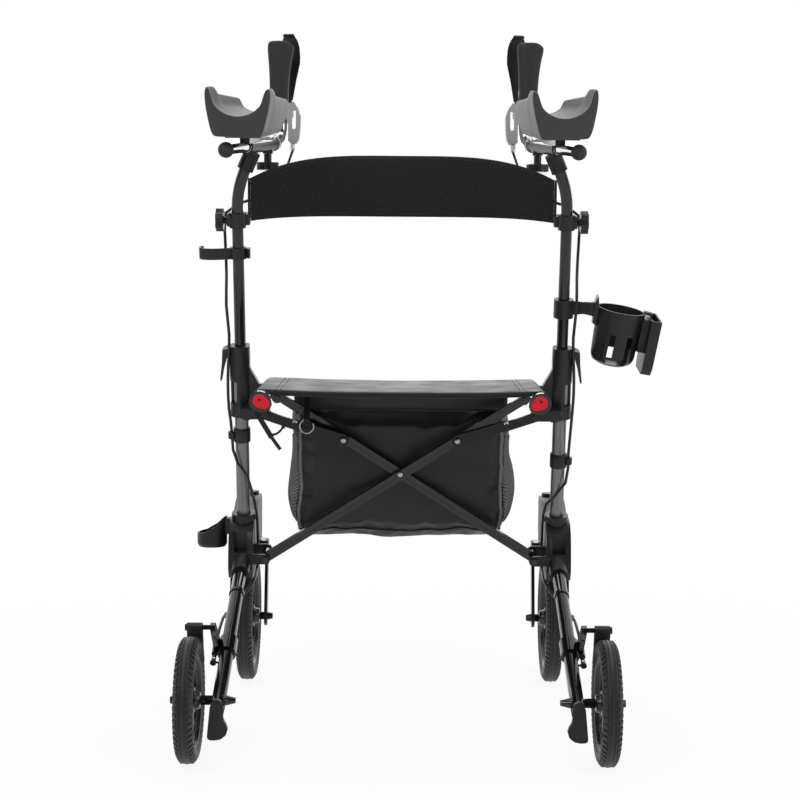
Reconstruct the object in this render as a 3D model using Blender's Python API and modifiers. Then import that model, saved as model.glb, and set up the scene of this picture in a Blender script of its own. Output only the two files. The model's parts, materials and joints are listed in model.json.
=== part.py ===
"""Four-wheel rollator with forearm supports, folding sideways on a cross brace.

Metres, +X to the user's right, +Y forward, +Z up. The origin is on the floor,
midway between the two rear wheels. The posts, hubs and cross brace lie in a plane
that leans back; lean(x, f, u) turns sideways, forward and along-the-post sizes
into world coordinates.
"""
import math

import bmesh
import bpy
from mathutils import Matrix, Vector

SIDES = (("left", -1), ("right", 1))

# Clearances
GAP = 0.0003
RUNNING_GAP = 0.0005
PIN_CLEARANCE = 0.0003

# Wheels and stance
REAR_TRACK = 0.630
WHEEL_OUTSET = 0.045
FRONT_TRACK = 0.543
WHEELBASE = 0.522
REAR_WHEEL_RADIUS = 0.095
FRONT_WHEEL_RADIUS = 0.1136
TYRE_WIDTH = 0.030
TYRE_DEPTH = 0.024
RIM_DEPTH = 0.013
RIM_WIDTH = 0.022
WHEEL_HUB_RADIUS = 0.019
REAR_HUB_WIDTH = 0.034
FRONT_HUB_WIDTH = 0.040
WHEEL_STEPS = 26
RIB_HALF = 0.0024
SPOKE_COUNT = 5
SPOKE_WIDTH = 0.013
SPOKE_THICKNESS = 0.009
AXLE_RADIUS = 0.004

# Side frame tubes
LEAN_DEGREES = 12.2
POST_FOOT_Y = 0.4771
POST_SPACING = 0.540
POST_RADIUS = 0.0095
TUBE_RADIUS = 0.012
TUBE_GROOVE = 0.0006
TUBE_GROOVES = 6
TUBE_BOTTOM = 0.232
STRAP_LEFT_DROP = 0.0330
STRAP_RIGHT_DROP = 0.0750
STRAP_WIDTH = 0.0070
LEG_RADIUS = 0.011
LEG_TOP_Y = 0.395
LEG_TOP_Z = 0.246
LEG_SOCKET_END = 0.020
LEG_END = 0.0180

# Rear brakes
BRAKE_PIVOT_Y = 0.075
BRAKE_PIVOT_Z = 0.190
SHOE_GAP = 0.0028
SHOE_WIDTH = 0.024
SPRING_OUT = 0.0188
CABLE_STOP = 0.1620
SPRING_RADIUS = 0.0032
SPRING_WIRE = 0.0008
SPRING_TURNS = 4
SPRING_LENGTH = 0.022

# Front caster
CASTER_TRAIL = 0.035
CASTER_HOUSING_RADIUS = 0.0195
CASTER_HOUSING_BOTTOM = 0.2500
CASTER_HOUSING_TOP = 0.336
STEM_RADIUS = 0.006
STEM_LENGTH = 0.060
FORK_LEG_SPACING = 0.062
FORK_LEG_THICKNESS = 0.0055
FORK_CROWN_THICKNESS = 0.012

# Lower casting
CASTING_WIDTH = 0.0418
CASTING_MIDDLE = 0.2726
COLLAR_TOP = 0.3264
COLLAR_RADIUS = 0.0185
BRACE_EYE_RADIUS = 0.0090

# Hub that clamps the post and carries the seat rail
HUB_BELOW_RAIL = 0.0546
HUB_ABOVE_RAIL = 0.0684
TUBE_ABOVE_RAIL = 0.0384
HUB_RADIUS = 0.0185
HUB_WINDOW_DROP = 0.0316
HUB_WINDOW_HEIGHT = 0.0390
HUB_DEPTH = 0.028
LUG_RADIUS = 0.0085
LUG_DEPTH = 0.0120
LEVER_PIVOT_X = 0.2945
LEVER_PIVOT_DROP = 0.0090

# Height-adjusting post and what is clamped to it
POST_BOTTOM = 0.440
POST_TOP = 0.942
POST_TOP_X = 0.2478
BACKREST_CLAMP = 0.839
CLAMP_RADIUS = 0.0140
KNOB_RADIUS = 0.0190
KNOB_LOBES = 6
KNOB_STEM = 0.0030
KNOB_BOSS_X = 0.2875
BLADE_X = 0.2500
CANE_CLIP_DROP = 0.0550

# Cross brace
BRACE_PIVOT_SPACING = 0.460
BRACE_PIVOT_HEIGHT = 0.2599
RAIL_PIVOT_DROP = 0.00918
BAR_HEIGHT = 0.0155
BAR_THICKNESS = 0.0090
BAR_LAYER_GAP = 0.0005
BAR_A_REAR = 0.0475
EXTENSION_THICKNESS = 0.0050
RAIL_PIVOT_SPACING = 0.4118
LOCK_PIVOT_SPACING = 0.4494
LOCK_PIVOT_DROP = 0.0372
LOCK_ELBOW_SPACING = 0.3540
LOCK_ELBOW_DROP = 0.0538
LOCK_ROOT_SPACING = 0.1928
LINK_THICKNESS = 0.0040
LINK_RADIUS = 0.0080
PIN_RADIUS = 0.0040
PIN_HEAD_RADIUS = 0.0056
PIN_HEAD_THICKNESS = 0.0028
BOSS_RADIUS = 0.0066
FAR_EYE = 0.0005
RAIL_EYE = 0.0265
BLADE_BOLT = 0.2009

# Seat
RAIL_SPACING = 0.429
RAIL_HEIGHT = 0.545
RAIL_RADIUS = 0.0100
RAIL_REAR = 0.078
RAIL_FRONT = 0.378
SEAT_THICKNESS = 0.0065
SEAT_SKIN = 0.0035
SEAT_REAR = 0.0925
SEAT_FRONT = 0.340
SEAT_SAG = 0.004
CAP_RADIUS = 0.0160
CAP_THICKNESS = 0.012
HOOK_Y = 0.0848

# Backrest band
BAND_THICKNESS = 0.012
BAND_BOW = 0.075

# Storage bag
BAG_WIDTH = 0.372
BAG_DEPTH = 0.130
BAG_DROP = 0.0369
BAG_REAR_BOTTOM = 0.404
BAG_REAR_TOP = 0.350
BAG_BOTTOM = 0.283
BAG_FLAP_WIDTH = 0.240
BAG_FLAP_SKIN = 0.0024

# Forearm support
BALL_SPREAD = 0.2752
BALL_Y = 0.1627
BALL_Z = 0.9268
BALL_RADIUS = 0.0125
BAR_END_SPREAD = 0.2070
BAR_END_Y = 0.4430
BAR_END_Z = 0.9560
ARM_BAR_RADIUS = 0.0086
ARM_BAR_TOP = 1.112
ARM_BAR_BEND = 0.034
SLEEVE_START = 0.098
SLEEVE_END = 0.240
SLEEVE_RADIUS = 0.0122
KNOB_ALONG = 0.2100
KNOB_DROP = 0.0165
PAD_LENGTH = 0.190
PAD_WIDTH = 0.105
PAD_FRONT_WIDTH = 0.088
PAD_REAR_Y = 0.142
PAD_REAR_SPREAD = 0.2537
PAD_BOTTOM = 0.9470
PAD_TOE_DEGREES = 7.5
PAD_PITCH_DEGREES = 6.0
PAD_BASE = 0.030
PAD_LIP = 0.071
PAD_FRONT_LIP = 0.056
PAD_RINGS = 6
GRIP_BOTTOM = 1.022
GRIP_TOP = 1.126
GRIP_WIDTH = 0.034
GRIP_TOP_WIDTH = 0.044
GRIP_DEPTH = 0.034
LEVER_WIDTH = 0.028
LEVER_THICKNESS = 0.0045
LEVER_X = 0.1980
LEVER_HINGE_Y = 0.4680
LEVER_HINGE_Z = 1.0050
LEVER_LUG = 0.0100
HOUSING_RING_BOTTOM = 0.9930
FERRULE_X = 0.1890

# Cup holder
CUP_RADIUS = 0.0405
CUP_HEIGHT = 0.096
CUP_WALL = 0.0026
CUP_TILT_DEGREES = 9.5
CUP_RIM_X = 0.3668
CUP_PIVOT_X = 0.3010
CUP_CLAMP_RISE = 0.0680
CHEEK_OFFSET = 0.0070
POCKET_THICKNESS = 0.017
POCKET_WIDTH = 0.076
POCKET_HEIGHT = 0.099

# Brake cables
CABLE_RADIUS = 0.0025

LEAN = math.radians(LEAN_DEGREES)
COS, SIN = math.cos(LEAN), math.sin(LEAN)
POST_X = POST_SPACING / 2
AXIS_X = Vector((1, 0, 0))
AXIS_Y = Vector((0, 1, 0))
AXIS_Z = Vector((0, 0, 1))
FORWARD = Vector((0, COS, SIN))
UPWARD = Vector((0, -SIN, COS))

parts = bpy.data.collections.new("rollator")
cutters = bpy.data.collections.new("cutters")
paints = {}


def lean(x, f, u):
    """World point from sideways, forward-of-the-posts and along-the-posts sizes."""
    return Vector((x, POST_FOOT_Y - u * SIN + f * COS, u * COS + f * SIN))


def axes(origin, right, up):
    """Matrix whose local X and Y run along right and up, with local Z their normal."""
    right, up = Vector(right).normalized(), Vector(up).normalized()
    turned_axes = Matrix((right, up, right.cross(up))).transposed().to_4x4()
    return Matrix.Translation(origin) @ turned_axes


def brace_plane(f):
    """Drawing plane parallel to the posts: local X is sideways, Y is along the posts."""
    return axes(lean(0, f, 0), AXIS_X, UPWARD)


def side_plane(x):
    return axes((x, 0, 0), AXIS_Y, AXIS_Z)


def back_plane(y):
    return axes((0, y, 0), AXIS_X, AXIS_Z)


def along(start, end):
    """Matrix at start whose local Z points to end."""
    z = (Vector(end) - Vector(start)).normalized()
    helper = AXIS_X if abs(z.x) < 0.9 else AXIS_Y
    x = helper.cross(z).normalized()
    return Matrix.Translation(start) @ Matrix((x, z.cross(x), z)).transposed().to_4x4()


def paint(name, colour, roughness, metallic=0.0):
    """One Principled material for each named finish."""
    if name not in paints:
        made = bpy.data.materials.new(name)
        made.use_nodes = True
        shader = made.node_tree.nodes["Principled BSDF"]
        shader.inputs["Base Color"].default_value = (*colour, 1)
        shader.inputs["Roughness"].default_value = roughness
        shader.inputs["Metallic"].default_value = metallic
        paints[name] = made
    return paints[name]


def from_bmesh(bm, smooth=True):
    """A loose object in world coordinates from a closed bmesh."""
    bmesh.ops.recalc_face_normals(bm, faces=bm.faces)
    mesh = bpy.data.meshes.new("shape")
    bm.to_mesh(mesh)
    bm.free()
    made = bpy.data.objects.new("shape", mesh)
    parts.objects.link(made)
    if smooth:
        mesh.shade_smooth()
        mesh.set_sharp_from_angle(angle=math.radians(35))
    return made


def baked(source, matrix):
    """The evaluated source as a plain welded mesh object, moved by matrix."""
    bpy.context.view_layer.update()
    graph = bpy.context.evaluated_depsgraph_get()
    mesh = bpy.data.meshes.new_from_object(source.evaluated_get(graph))
    bpy.data.objects.remove(source)
    bm = bmesh.new()
    bm.from_mesh(mesh)
    bpy.data.meshes.remove(mesh)
    bmesh.ops.remove_doubles(bm, verts=bm.verts, dist=0.00001)
    bmesh.ops.transform(bm, matrix=matrix, verts=bm.verts)
    return from_bmesh(bm)


def rod(start, end, radius, sides=20, end_radius=None):
    start, end = Vector(start), Vector(end)
    length = (end - start).length
    bm = bmesh.new()
    tip = radius if end_radius is None else end_radius
    bmesh.ops.create_cone(
        bm, cap_ends=True, segments=sides, radius1=radius, radius2=tip, depth=length
    )
    matrix = along(start, end) @ Matrix.Translation((0, 0, length / 2))
    bmesh.ops.transform(bm, matrix=matrix, verts=bm.verts)
    return from_bmesh(bm)


def block(size, matrix):
    bm = bmesh.new()
    bmesh.ops.create_cube(bm, size=1)
    stretch = Matrix.Diagonal((*size, 1))
    bmesh.ops.transform(bm, matrix=matrix @ stretch, verts=bm.verts)
    return from_bmesh(bm, smooth=False)


def ball(centre, radius, sides=16):
    bm = bmesh.new()
    bmesh.ops.create_uvsphere(bm, u_segments=sides, v_segments=sides // 2, radius=radius)
    bmesh.ops.transform(bm, matrix=Matrix.Translation(centre), verts=bm.verts)
    return from_bmesh(bm)


def plate(outlines, thickness, matrix):
    """A flat outline, with any holes after it, thickened evenly about matrix's plane."""
    curve = bpy.data.curves.new("outline", "CURVE")
    curve.dimensions = "2D"
    curve.fill_mode = "BOTH"
    curve.extrude = thickness / 2
    for outline in outlines:
        spline = curve.splines.new("POLY")
        spline.points.add(len(outline) - 1)
        for point, (a, b) in zip(spline.points, outline):
            point.co = (a, b, 0, 1)
        spline.use_cyclic_u = True
    source = bpy.data.objects.new("outline", curve)
    parts.objects.link(source)
    return baked(source, matrix)


def turned(profile, matrix, steps=32, closed=False):
    """A profile of (radius, height) points, top to bottom on the outside, spun round Z."""
    bm = bmesh.new()
    points = [bm.verts.new((r, 0, z)) for r, z in profile]
    for a, b in zip(points, points[1:]):
        bm.edges.new((a, b))
    if closed:
        bm.edges.new((points[-1], points[0]))
    mesh = bpy.data.meshes.new("profile")
    bm.to_mesh(mesh)
    bm.free()
    source = bpy.data.objects.new("profile", mesh)
    parts.objects.link(source)
    screw = source.modifiers.new("turn", "SCREW")
    screw.steps = steps
    screw.render_steps = steps
    screw.use_merge_vertices = True
    screw.merge_threshold = 0.00005
    return baked(source, matrix)


def pipe(points, radius, resolution=4):
    """A solid round bar along a list of world points."""
    curve = bpy.data.curves.new("path", "CURVE")
    curve.dimensions = "3D"
    curve.bevel_depth = radius
    curve.bevel_resolution = resolution
    curve.use_fill_caps = True
    spline = curve.splines.new("POLY")
    spline.points.add(len(points) - 1)
    for target, point in zip(spline.points, points):
        target.co = (*point, 1)
    source = bpy.data.objects.new("path", curve)
    parts.objects.link(source)
    return baked(source, Matrix.Identity(4))


def stepped(origin, way, steps, sides=10):
    """A turned pin along way: each step is (distance, radius), in rising distance."""
    profile = [(0, steps[-1][0]), *[(r, s) for s, r in reversed(steps)], (0, steps[0][0])]
    return turned(profile, along(origin, Vector(origin) + Vector(way)), sides)


def loft(rings):
    """A closed solid through rings of world points, with flat ends."""
    bm = bmesh.new()
    rows = [[bm.verts.new(p) for p in ring] for ring in rings]
    count = len(rows[0])
    for lower, upper in zip(rows, rows[1:]):
        for i in range(count):
            j = (i + 1) % count
            bm.faces.new((lower[i], lower[j], upper[j], upper[i]))
    bm.faces.new(rows[0])
    bm.faces.new(rows[-1])
    return from_bmesh(bm)


def modify(target, others, operation):
    for other in others:
        parts.objects.unlink(other)
        cutters.objects.link(other)
        other.name = "cutter"
        other.hide_render = True
        other.display_type = "WIRE"
        step = target.modifiers.new(operation.lower(), "BOOLEAN")
        step.operation = operation
        step.solver = "EXACT"
        step.object = other
    return target


def join(target, *others):
    return modify(target, others, "UNION")


def cut(target, *others):
    return modify(target, others, "DIFFERENCE")


def soften(target, width, segments=1, degrees=40):
    bevel = target.modifiers.new("edges", "BEVEL")
    bevel.width = width
    bevel.segments = segments
    bevel.limit_method = "ANGLE"
    bevel.angle_limit = math.radians(degrees)
    return target


def finish(made, name, material, parent):
    """Names a piece, gives it its material and hangs it on its joint's empty."""
    made.name = name
    made.data.name = name
    made.data.materials.clear()
    made.data.materials.append(material)
    bpy.context.view_layer.update()
    made.parent = parent
    made.matrix_parent_inverse = parent.matrix_world.inverted()
    return made


def joint_empty(name, position, parent=None):
    made = bpy.data.objects.new(name, None)
    parts.objects.link(made)
    made.empty_display_size = 0.03
    made.location = position
    if parent:
        bpy.context.view_layer.update()
        made.parent = parent
        made.matrix_parent_inverse = parent.matrix_world.inverted()
    bpy.context.view_layer.update()
    return made


def circle(radius, sides=20, centre=(0, 0), start=0.0, sweep=360.0):
    """Points round an arc; a whole turn leaves out the repeated last point."""
    whole = abs(sweep) >= 360
    count = sides if whole else sides + 1
    turn = [math.radians(start + sweep * i / sides) for i in range(count)]
    return [
        (centre[0] + radius * math.cos(t), centre[1] + radius * math.sin(t)) for t in turn
    ]


def capsule(a, b, radius, sides=6, end_radius=None):
    """Outline of a link with round ends about two points."""
    end_radius = end_radius or radius
    heading = math.degrees(math.atan2(b[1] - a[1], b[0] - a[0]))
    return circle(radius, sides, a, heading + 90, 180) + circle(
        end_radius, sides, b, heading - 90, 180
    )


def rounded(points, radius, sides=3):
    """The outline with each corner replaced by an arc of about the given radius."""
    out = []
    for i, corner in enumerate(points):
        corner = Vector(corner)
        before = Vector(points[i - 1]) - corner
        after = Vector(points[(i + 1) % len(points)]) - corner
        reach = min(radius, before.length * 0.45, after.length * 0.45)
        a, b = corner + before.normalized() * reach, corner + after.normalized() * reach
        for k in range(sides + 1):
            t = k / sides
            out.append(tuple(a * (1 - t) ** 2 + corner * 2 * t * (1 - t) + b * t * t))
    return out


def bent(points, radius, sides=5):
    """A path through corner points with its inner corners rounded."""
    out = [Vector(points[0])]
    for before, corner, after in zip(points, points[1:], points[2:]):
        before, corner, after = Vector(before), Vector(corner), Vector(after)
        to_a, to_b = before - corner, after - corner
        reach = min(radius, to_a.length * 0.48, to_b.length * 0.48)
        a, b = corner + to_a.normalized() * reach, corner + to_b.normalized() * reach
        for k in range(sides + 1):
            t = k / sides
            out.append(a * (1 - t) ** 2 + corner * 2 * t * (1 - t) + b * t * t)
    out.append(Vector(points[-1]))
    return out


def smooth_path(points, steps):
    """Evenly spaced points on a smooth curve through the given ones."""
    points = [Vector(p) for p in points]
    ends = [points[0] * 2 - points[1], *points, points[-1] * 2 - points[-2]]
    dense = []
    for a, b, c, d in zip(ends, ends[1:], ends[2:], ends[3:]):
        for k in range(12):
            t = k / 12
            dense.append(
                (b * 2 + (c - a) * t + (a * 2 - b * 5 + c * 4 - d) * t * t
                 + (b * 3 - a - c * 3 + d) * t ** 3) / 2
            )
    dense.append(points[-1])
    lengths = [0.0]
    for a, b in zip(dense, dense[1:]):
        lengths.append(lengths[-1] + (b - a).length)
    out, at = [], 0
    for k in range(steps + 1):
        goal = lengths[-1] * k / steps
        while at < len(dense) - 2 and lengths[at + 1] < goal:
            at += 1
        part = (goal - lengths[at]) / (lengths[at + 1] - lengths[at])
        out.append(dense[at].lerp(dense[at + 1], min(1, max(0, part))))
    return out


def blend(a, b, t):
    return a + (b - a) * t


black = paint("black_plastic", (0.020, 0.020, 0.022), 0.45)
dark_metal = paint("dark_metal", (0.030, 0.030, 0.033), 0.35, 0.6)
gloss_metal = paint("gloss_black_metal", (0.012, 0.012, 0.014), 0.15, 0.4)
grey_tube = paint("grey_anodised", (0.16, 0.16, 0.17), 0.32, 0.9)
chrome = paint("chrome", (0.80, 0.80, 0.82), 0.08, 1.0)
rubber = paint("tyre_rubber", (0.030, 0.030, 0.032), 0.75)
pad_foam = paint("pad_foam", (0.055, 0.055, 0.058), 0.7)
grip_rubber = paint("grip_rubber", (0.035, 0.035, 0.038), 0.8)
housing_grey = paint("housing_grey", (0.20, 0.20, 0.21), 0.5)
mesh_fabric = paint("mesh_fabric", (0.018, 0.018, 0.020), 0.9)
seat_vinyl = paint("seat_vinyl", (0.05, 0.05, 0.053), 0.35)
nylon = paint("nylon", (0.022, 0.022, 0.024), 0.6)
reflector_red = paint("reflector_red", (0.62, 0.015, 0.030), 0.2)
cable_black = paint("cable_black", (0.015, 0.015, 0.016), 0.4)

# Layers of the cross brace, as sizes forward of the posts
BAR_A_FRONT = BAR_A_REAR - BAR_THICKNESS
BAR_B_REAR = BAR_A_FRONT - BAR_LAYER_GAP
BAR_B_FRONT = BAR_B_REAR - BAR_THICKNESS
ARM_FRONT = BAR_A_REAR + BAR_LAYER_GAP
ARM_REAR = ARM_FRONT + LINK_THICKNESS
LINK_FRONT = ARM_REAR + BAR_LAYER_GAP
LINK_REAR = LINK_FRONT + LINK_THICKNESS

# Heights along the posts that follow the seat rail
RAIL_U = RAIL_HEIGHT / COS
TUBE_TOP = RAIL_U + TUBE_ABOVE_RAIL
HUB_BOTTOM = RAIL_U - HUB_BELOW_RAIL
HUB_TOP = RAIL_U + HUB_ABOVE_RAIL
HUB_WINDOW_BOTTOM = RAIL_U - HUB_WINDOW_DROP
HUB_WINDOW_TOP = HUB_WINDOW_BOTTOM + HUB_WINDOW_HEIGHT
LEVER_PIVOT_U = HUB_TOP - LEVER_PIVOT_DROP
STRAP_LEFT = HUB_BOTTOM - STRAP_LEFT_DROP
STRAP_RIGHT = HUB_BOTTOM - STRAP_RIGHT_DROP
RAIL_PIVOT_U = RAIL_U - RAIL_PIVOT_DROP
LOCK_PIVOT_HEIGHT = RAIL_U - LOCK_PIVOT_DROP
LOCK_ELBOW_HEIGHT = RAIL_U - LOCK_ELBOW_DROP
CUP_CLAMP_U = HUB_TOP + CUP_CLAMP_RISE
CUP_PIVOT_Z = CUP_CLAMP_U * COS + 0.0007
CUP_RIM_Y = lean(0, 0, CUP_CLAMP_U).y + 0.0046
CUP_RIM_Z = CUP_PIVOT_Z - 0.0020
CANE_CLIP_U = BACKREST_CLAMP - CANE_CLIP_DROP

# Places in the brace plane
PIVOT_X = BRACE_PIVOT_SPACING / 2
RAIL_PIVOT_X = RAIL_PIVOT_SPACING / 2
BRACE_OPEN = math.atan2(RAIL_PIVOT_U - BRACE_PIVOT_HEIGHT, PIVOT_X + RAIL_PIVOT_X)
HALF_BAR = PIVOT_X / math.cos(BRACE_OPEN)
CENTRE_U = BRACE_PIVOT_HEIGHT + HALF_BAR * math.sin(BRACE_OPEN)
UPPER_BAR = RAIL_PIVOT_X / math.cos(BRACE_OPEN)
LOCK_ROOT_X = LOCK_ROOT_SPACING / 2
LOCK_ROOT_U = CENTRE_U + LOCK_ROOT_X * math.tan(BRACE_OPEN)
LOCK_ROOT = LOCK_ROOT_X / math.cos(BRACE_OPEN)
LOCK_ELBOW_X = LOCK_ELBOW_SPACING / 2
LOCK_PIVOT_X = LOCK_PIVOT_SPACING / 2
RAIL_X = RAIL_SPACING / 2
SEAT_REACH = RAIL_RADIUS + 0.0009
SEAT_UNDERSIDE = RAIL_HEIGHT + SEAT_REACH + SEAT_SKIN - SEAT_SAG - SEAT_THICKNESS
BAG_TOP = SEAT_UNDERSIDE - BAG_DROP
LEG_FOOT_X = REAR_TRACK / 2 - WHEEL_OUTSET
LEG_TOP = math.dist((POST_X, LEG_TOP_Y, LEG_TOP_Z), (LEG_FOOT_X, 0, REAR_WHEEL_RADIUS))


def applied(source):
    """A piece with its modifiers applied, so that it can join another piece."""
    return baked(source, Matrix.Identity(4))


def wheel(name, x, y, radius, hub_width, parent):
    """Tyre, rim, spokes and hub as one wheel, turned about its axle."""
    matrix = axes((x, y, radius), AXIS_Y, AXIS_Z)
    half, rim_half = TYRE_WIDTH / 2, RIM_WIDTH / 2
    inner = radius - TYRE_DEPTH
    rim = inner - RIM_DEPTH
    tread = radius / math.cos(math.pi / WHEEL_STEPS)
    made = turned(
        [
            (tread, RIB_HALF), (tread, -RIB_HALF), (radius - half * 0.35, -half * 0.9),
            (radius - half * 0.8, -half), (rim, -rim_half), (rim, rim_half),
            (radius - half * 0.8, half), (radius - half * 0.35, half * 0.9),
        ],
        matrix, WHEEL_STEPS, closed=True,
    )
    hub_half = hub_width / 2
    hub = turned(
        [
            (0, hub_half), (WHEEL_HUB_RADIUS * 0.7, hub_half), (WHEEL_HUB_RADIUS, hub_half * 0.5),
            (WHEEL_HUB_RADIUS, -hub_half * 0.5), (WHEEL_HUB_RADIUS * 0.7, -hub_half),
            (0, -hub_half),
        ],
        matrix, 10,
    )
    reach = rim + RIM_DEPTH * 0.4
    for i in range(SPOKE_COUNT):
        turn = Matrix.Rotation(math.tau * i / SPOKE_COUNT, 4, "Z")
        outline = [
            (WHEEL_HUB_RADIUS * 0.5, -SPOKE_WIDTH / 2), (reach, -SPOKE_WIDTH * 0.36),
            (reach, SPOKE_WIDTH * 0.36), (WHEEL_HUB_RADIUS * 0.5, SPOKE_WIDTH / 2),
        ]
        join(hub, plate([outline], SPOKE_THICKNESS, matrix @ turn))
    join(made, applied(hub))
    bore = AXLE_RADIUS + PIN_CLEARANCE
    cut(made, rod((x - half * 2, y, radius), (x + half * 2, y, radius), bore, 10))
    return finish(made, name, rubber, parent)


def lower_tube(name, side, parent):
    """Grooved tube from the lower casting to the hub, with the strap that holds the cable."""
    x = side * POST_X
    steps = TUBE_GROOVES * 3
    outer = []
    for i in range(steps):
        r = TUBE_RADIUS - (TUBE_GROOVE if i % 3 == 0 else 0)
        outer.append((r * math.cos(math.tau * i / steps), r * math.sin(math.tau * i / steps)))
    bore = circle(POST_RADIUS + GAP, 18)
    middle = lean(x, 0, (TUBE_TOP + TUBE_BOTTOM) / 2)
    made = plate([outer, bore], TUBE_TOP - TUBE_BOTTOM, axes(middle, AXIS_X, -FORWARD))
    u = STRAP_LEFT if side < 0 else STRAP_RIGHT
    band = plate(
        [circle(TUBE_RADIUS + 0.0016, 16), circle(TUBE_RADIUS - 0.0014, 16)],
        STRAP_WIDTH, axes(lean(x, 0, u), AXIS_X, -FORWARD),
    )
    cable = strap_cable(side)
    eye = plate(
        [circle(CABLE_RADIUS + 0.0028, 10), circle(CABLE_RADIUS + 0.0012, 8)],
        STRAP_WIDTH, axes(cable, AXIS_X, -FORWARD),
    )
    join(made, band, eye)
    return finish(made, name, grey_tube, parent)


def strap_cable(side):
    u = STRAP_LEFT if side < 0 else STRAP_RIGHT
    return lean(side * (POST_X + TUBE_RADIUS + CABLE_RADIUS + 0.0024), -0.004, u)


def leg_point(side, s, lift=0.0, out=0.0):
    """A point s along the rear leg from the axle, lifted off it or shifted outboard."""
    foot = Vector((side * LEG_FOOT_X, 0, REAR_WHEEL_RADIUS))
    way = (Vector((side * POST_X, LEG_TOP_Y, LEG_TOP_Z)) - foot).normalized()
    normal = Vector((0, -way.z, way.y)).normalized()
    return foot + way * s + normal * lift + AXIS_X * side * out


def lower_casting(name, side, parent):
    """Casting that ties the post tube, rear leg, caster and brace pivot together."""
    x = side * POST_X
    middle = side * CASTING_MIDDLE
    stem_y = WHEELBASE + CASTER_TRAIL
    tip = stem_y + CASTER_HOUSING_RADIUS
    low = CASTER_HOUSING_BOTTOM + 0.002
    outline = rounded(
        [
            (0.386, 0.300), (0.432, 0.312), (0.470, 0.309), (0.520, 0.330), (tip, 0.330),
            (tip, low), (0.512, low), (0.470, 0.240), (0.440, 0.219), (0.405, 0.204),
            (0.370, 0.213), (0.372, 0.258),
        ],
        0.012, 1,
    )
    made = plate([outline], CASTING_WIDTH, side_plane(middle))
    join(
        made,
        rod(lean(x, 0, TUBE_BOTTOM - 0.004), lean(x, 0, COLLAR_TOP - 0.005), COLLAR_RADIUS, 14),
        rod(lean(x, 0, COLLAR_TOP - 0.012), lean(x, 0, COLLAR_TOP), COLLAR_RADIUS + 0.002, 14),
        rod((x, stem_y, CASTER_HOUSING_BOTTOM), (x, stem_y, CASTER_HOUSING_TOP),
            CASTER_HOUSING_RADIUS, 14, CASTER_HOUSING_RADIUS * 0.72),
        rod(leg_point(side, LEG_TOP - 0.060), leg_point(side, LEG_TOP), LEG_RADIUS + 0.0042, 14),
    )
    channel = block(
        (0.022, 0.030, 0.052),
        Matrix.Translation((middle, 0.370, 0.280)) @ Matrix.Rotation(LEAN, 4, "X"),
    )
    cut(made, channel)
    pocket = rounded([(-0.026, -0.016), (0.024, -0.004), (0.028, 0.026), (-0.012, 0.018)], 0.008, 1)
    for face in (-1, 1):
        centre = (middle + face * (CASTING_WIDTH / 2), 0.478, 0.274)
        cut(made, plate([pocket], 0.005, axes(centre, AXIS_Y, AXIS_Z)))
    inner, root = side * PIVOT_X, middle - side * (CASTING_WIDTH / 2 - 0.003)
    eye = capsule((inner, BRACE_PIVOT_HEIGHT), (root, BRACE_PIVOT_HEIGHT), BRACE_EYE_RADIUS, 4)
    for front, rear in ((ARM_FRONT, ARM_REAR), (FAR_EYE, FAR_EYE + LINK_THICKNESS)):
        join(made, plate([eye], rear - front, brace_plane(-(rear + front) / 2)))
    web = block(
        (0.004, ARM_REAR - FAR_EYE - 0.001, BRACE_EYE_RADIUS * 2 - 0.0006),
        Matrix.Translation(lean(root + side * 0.001, -(ARM_REAR + FAR_EYE) / 2, BRACE_PIVOT_HEIGHT))
        @ Matrix.Rotation(LEAN, 4, "X"),
    )
    join(made, web)
    cut(
        made,
        rod(lean(x, 0, TUBE_BOTTOM - GAP), lean(x, 0, COLLAR_TOP + 0.02), TUBE_RADIUS + GAP, 16),
        rod(leg_point(side, LEG_TOP - 0.080), leg_point(side, LEG_TOP - LEG_SOCKET_END),
            LEG_RADIUS + GAP, 16),
        rod((x, stem_y, CASTER_HOUSING_BOTTOM - 0.01),
            (x, stem_y, CASTER_HOUSING_BOTTOM + STEM_LENGTH + GAP),
            STEM_RADIUS + PIN_CLEARANCE, 12),
        rod(lean(inner, -ARM_REAR - 0.004, BRACE_PIVOT_HEIGHT),
            lean(inner, 0.010, BRACE_PIVOT_HEIGHT), PIN_RADIUS + PIN_CLEARANCE, 12),
    )
    return finish(made, name, black, parent)


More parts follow.
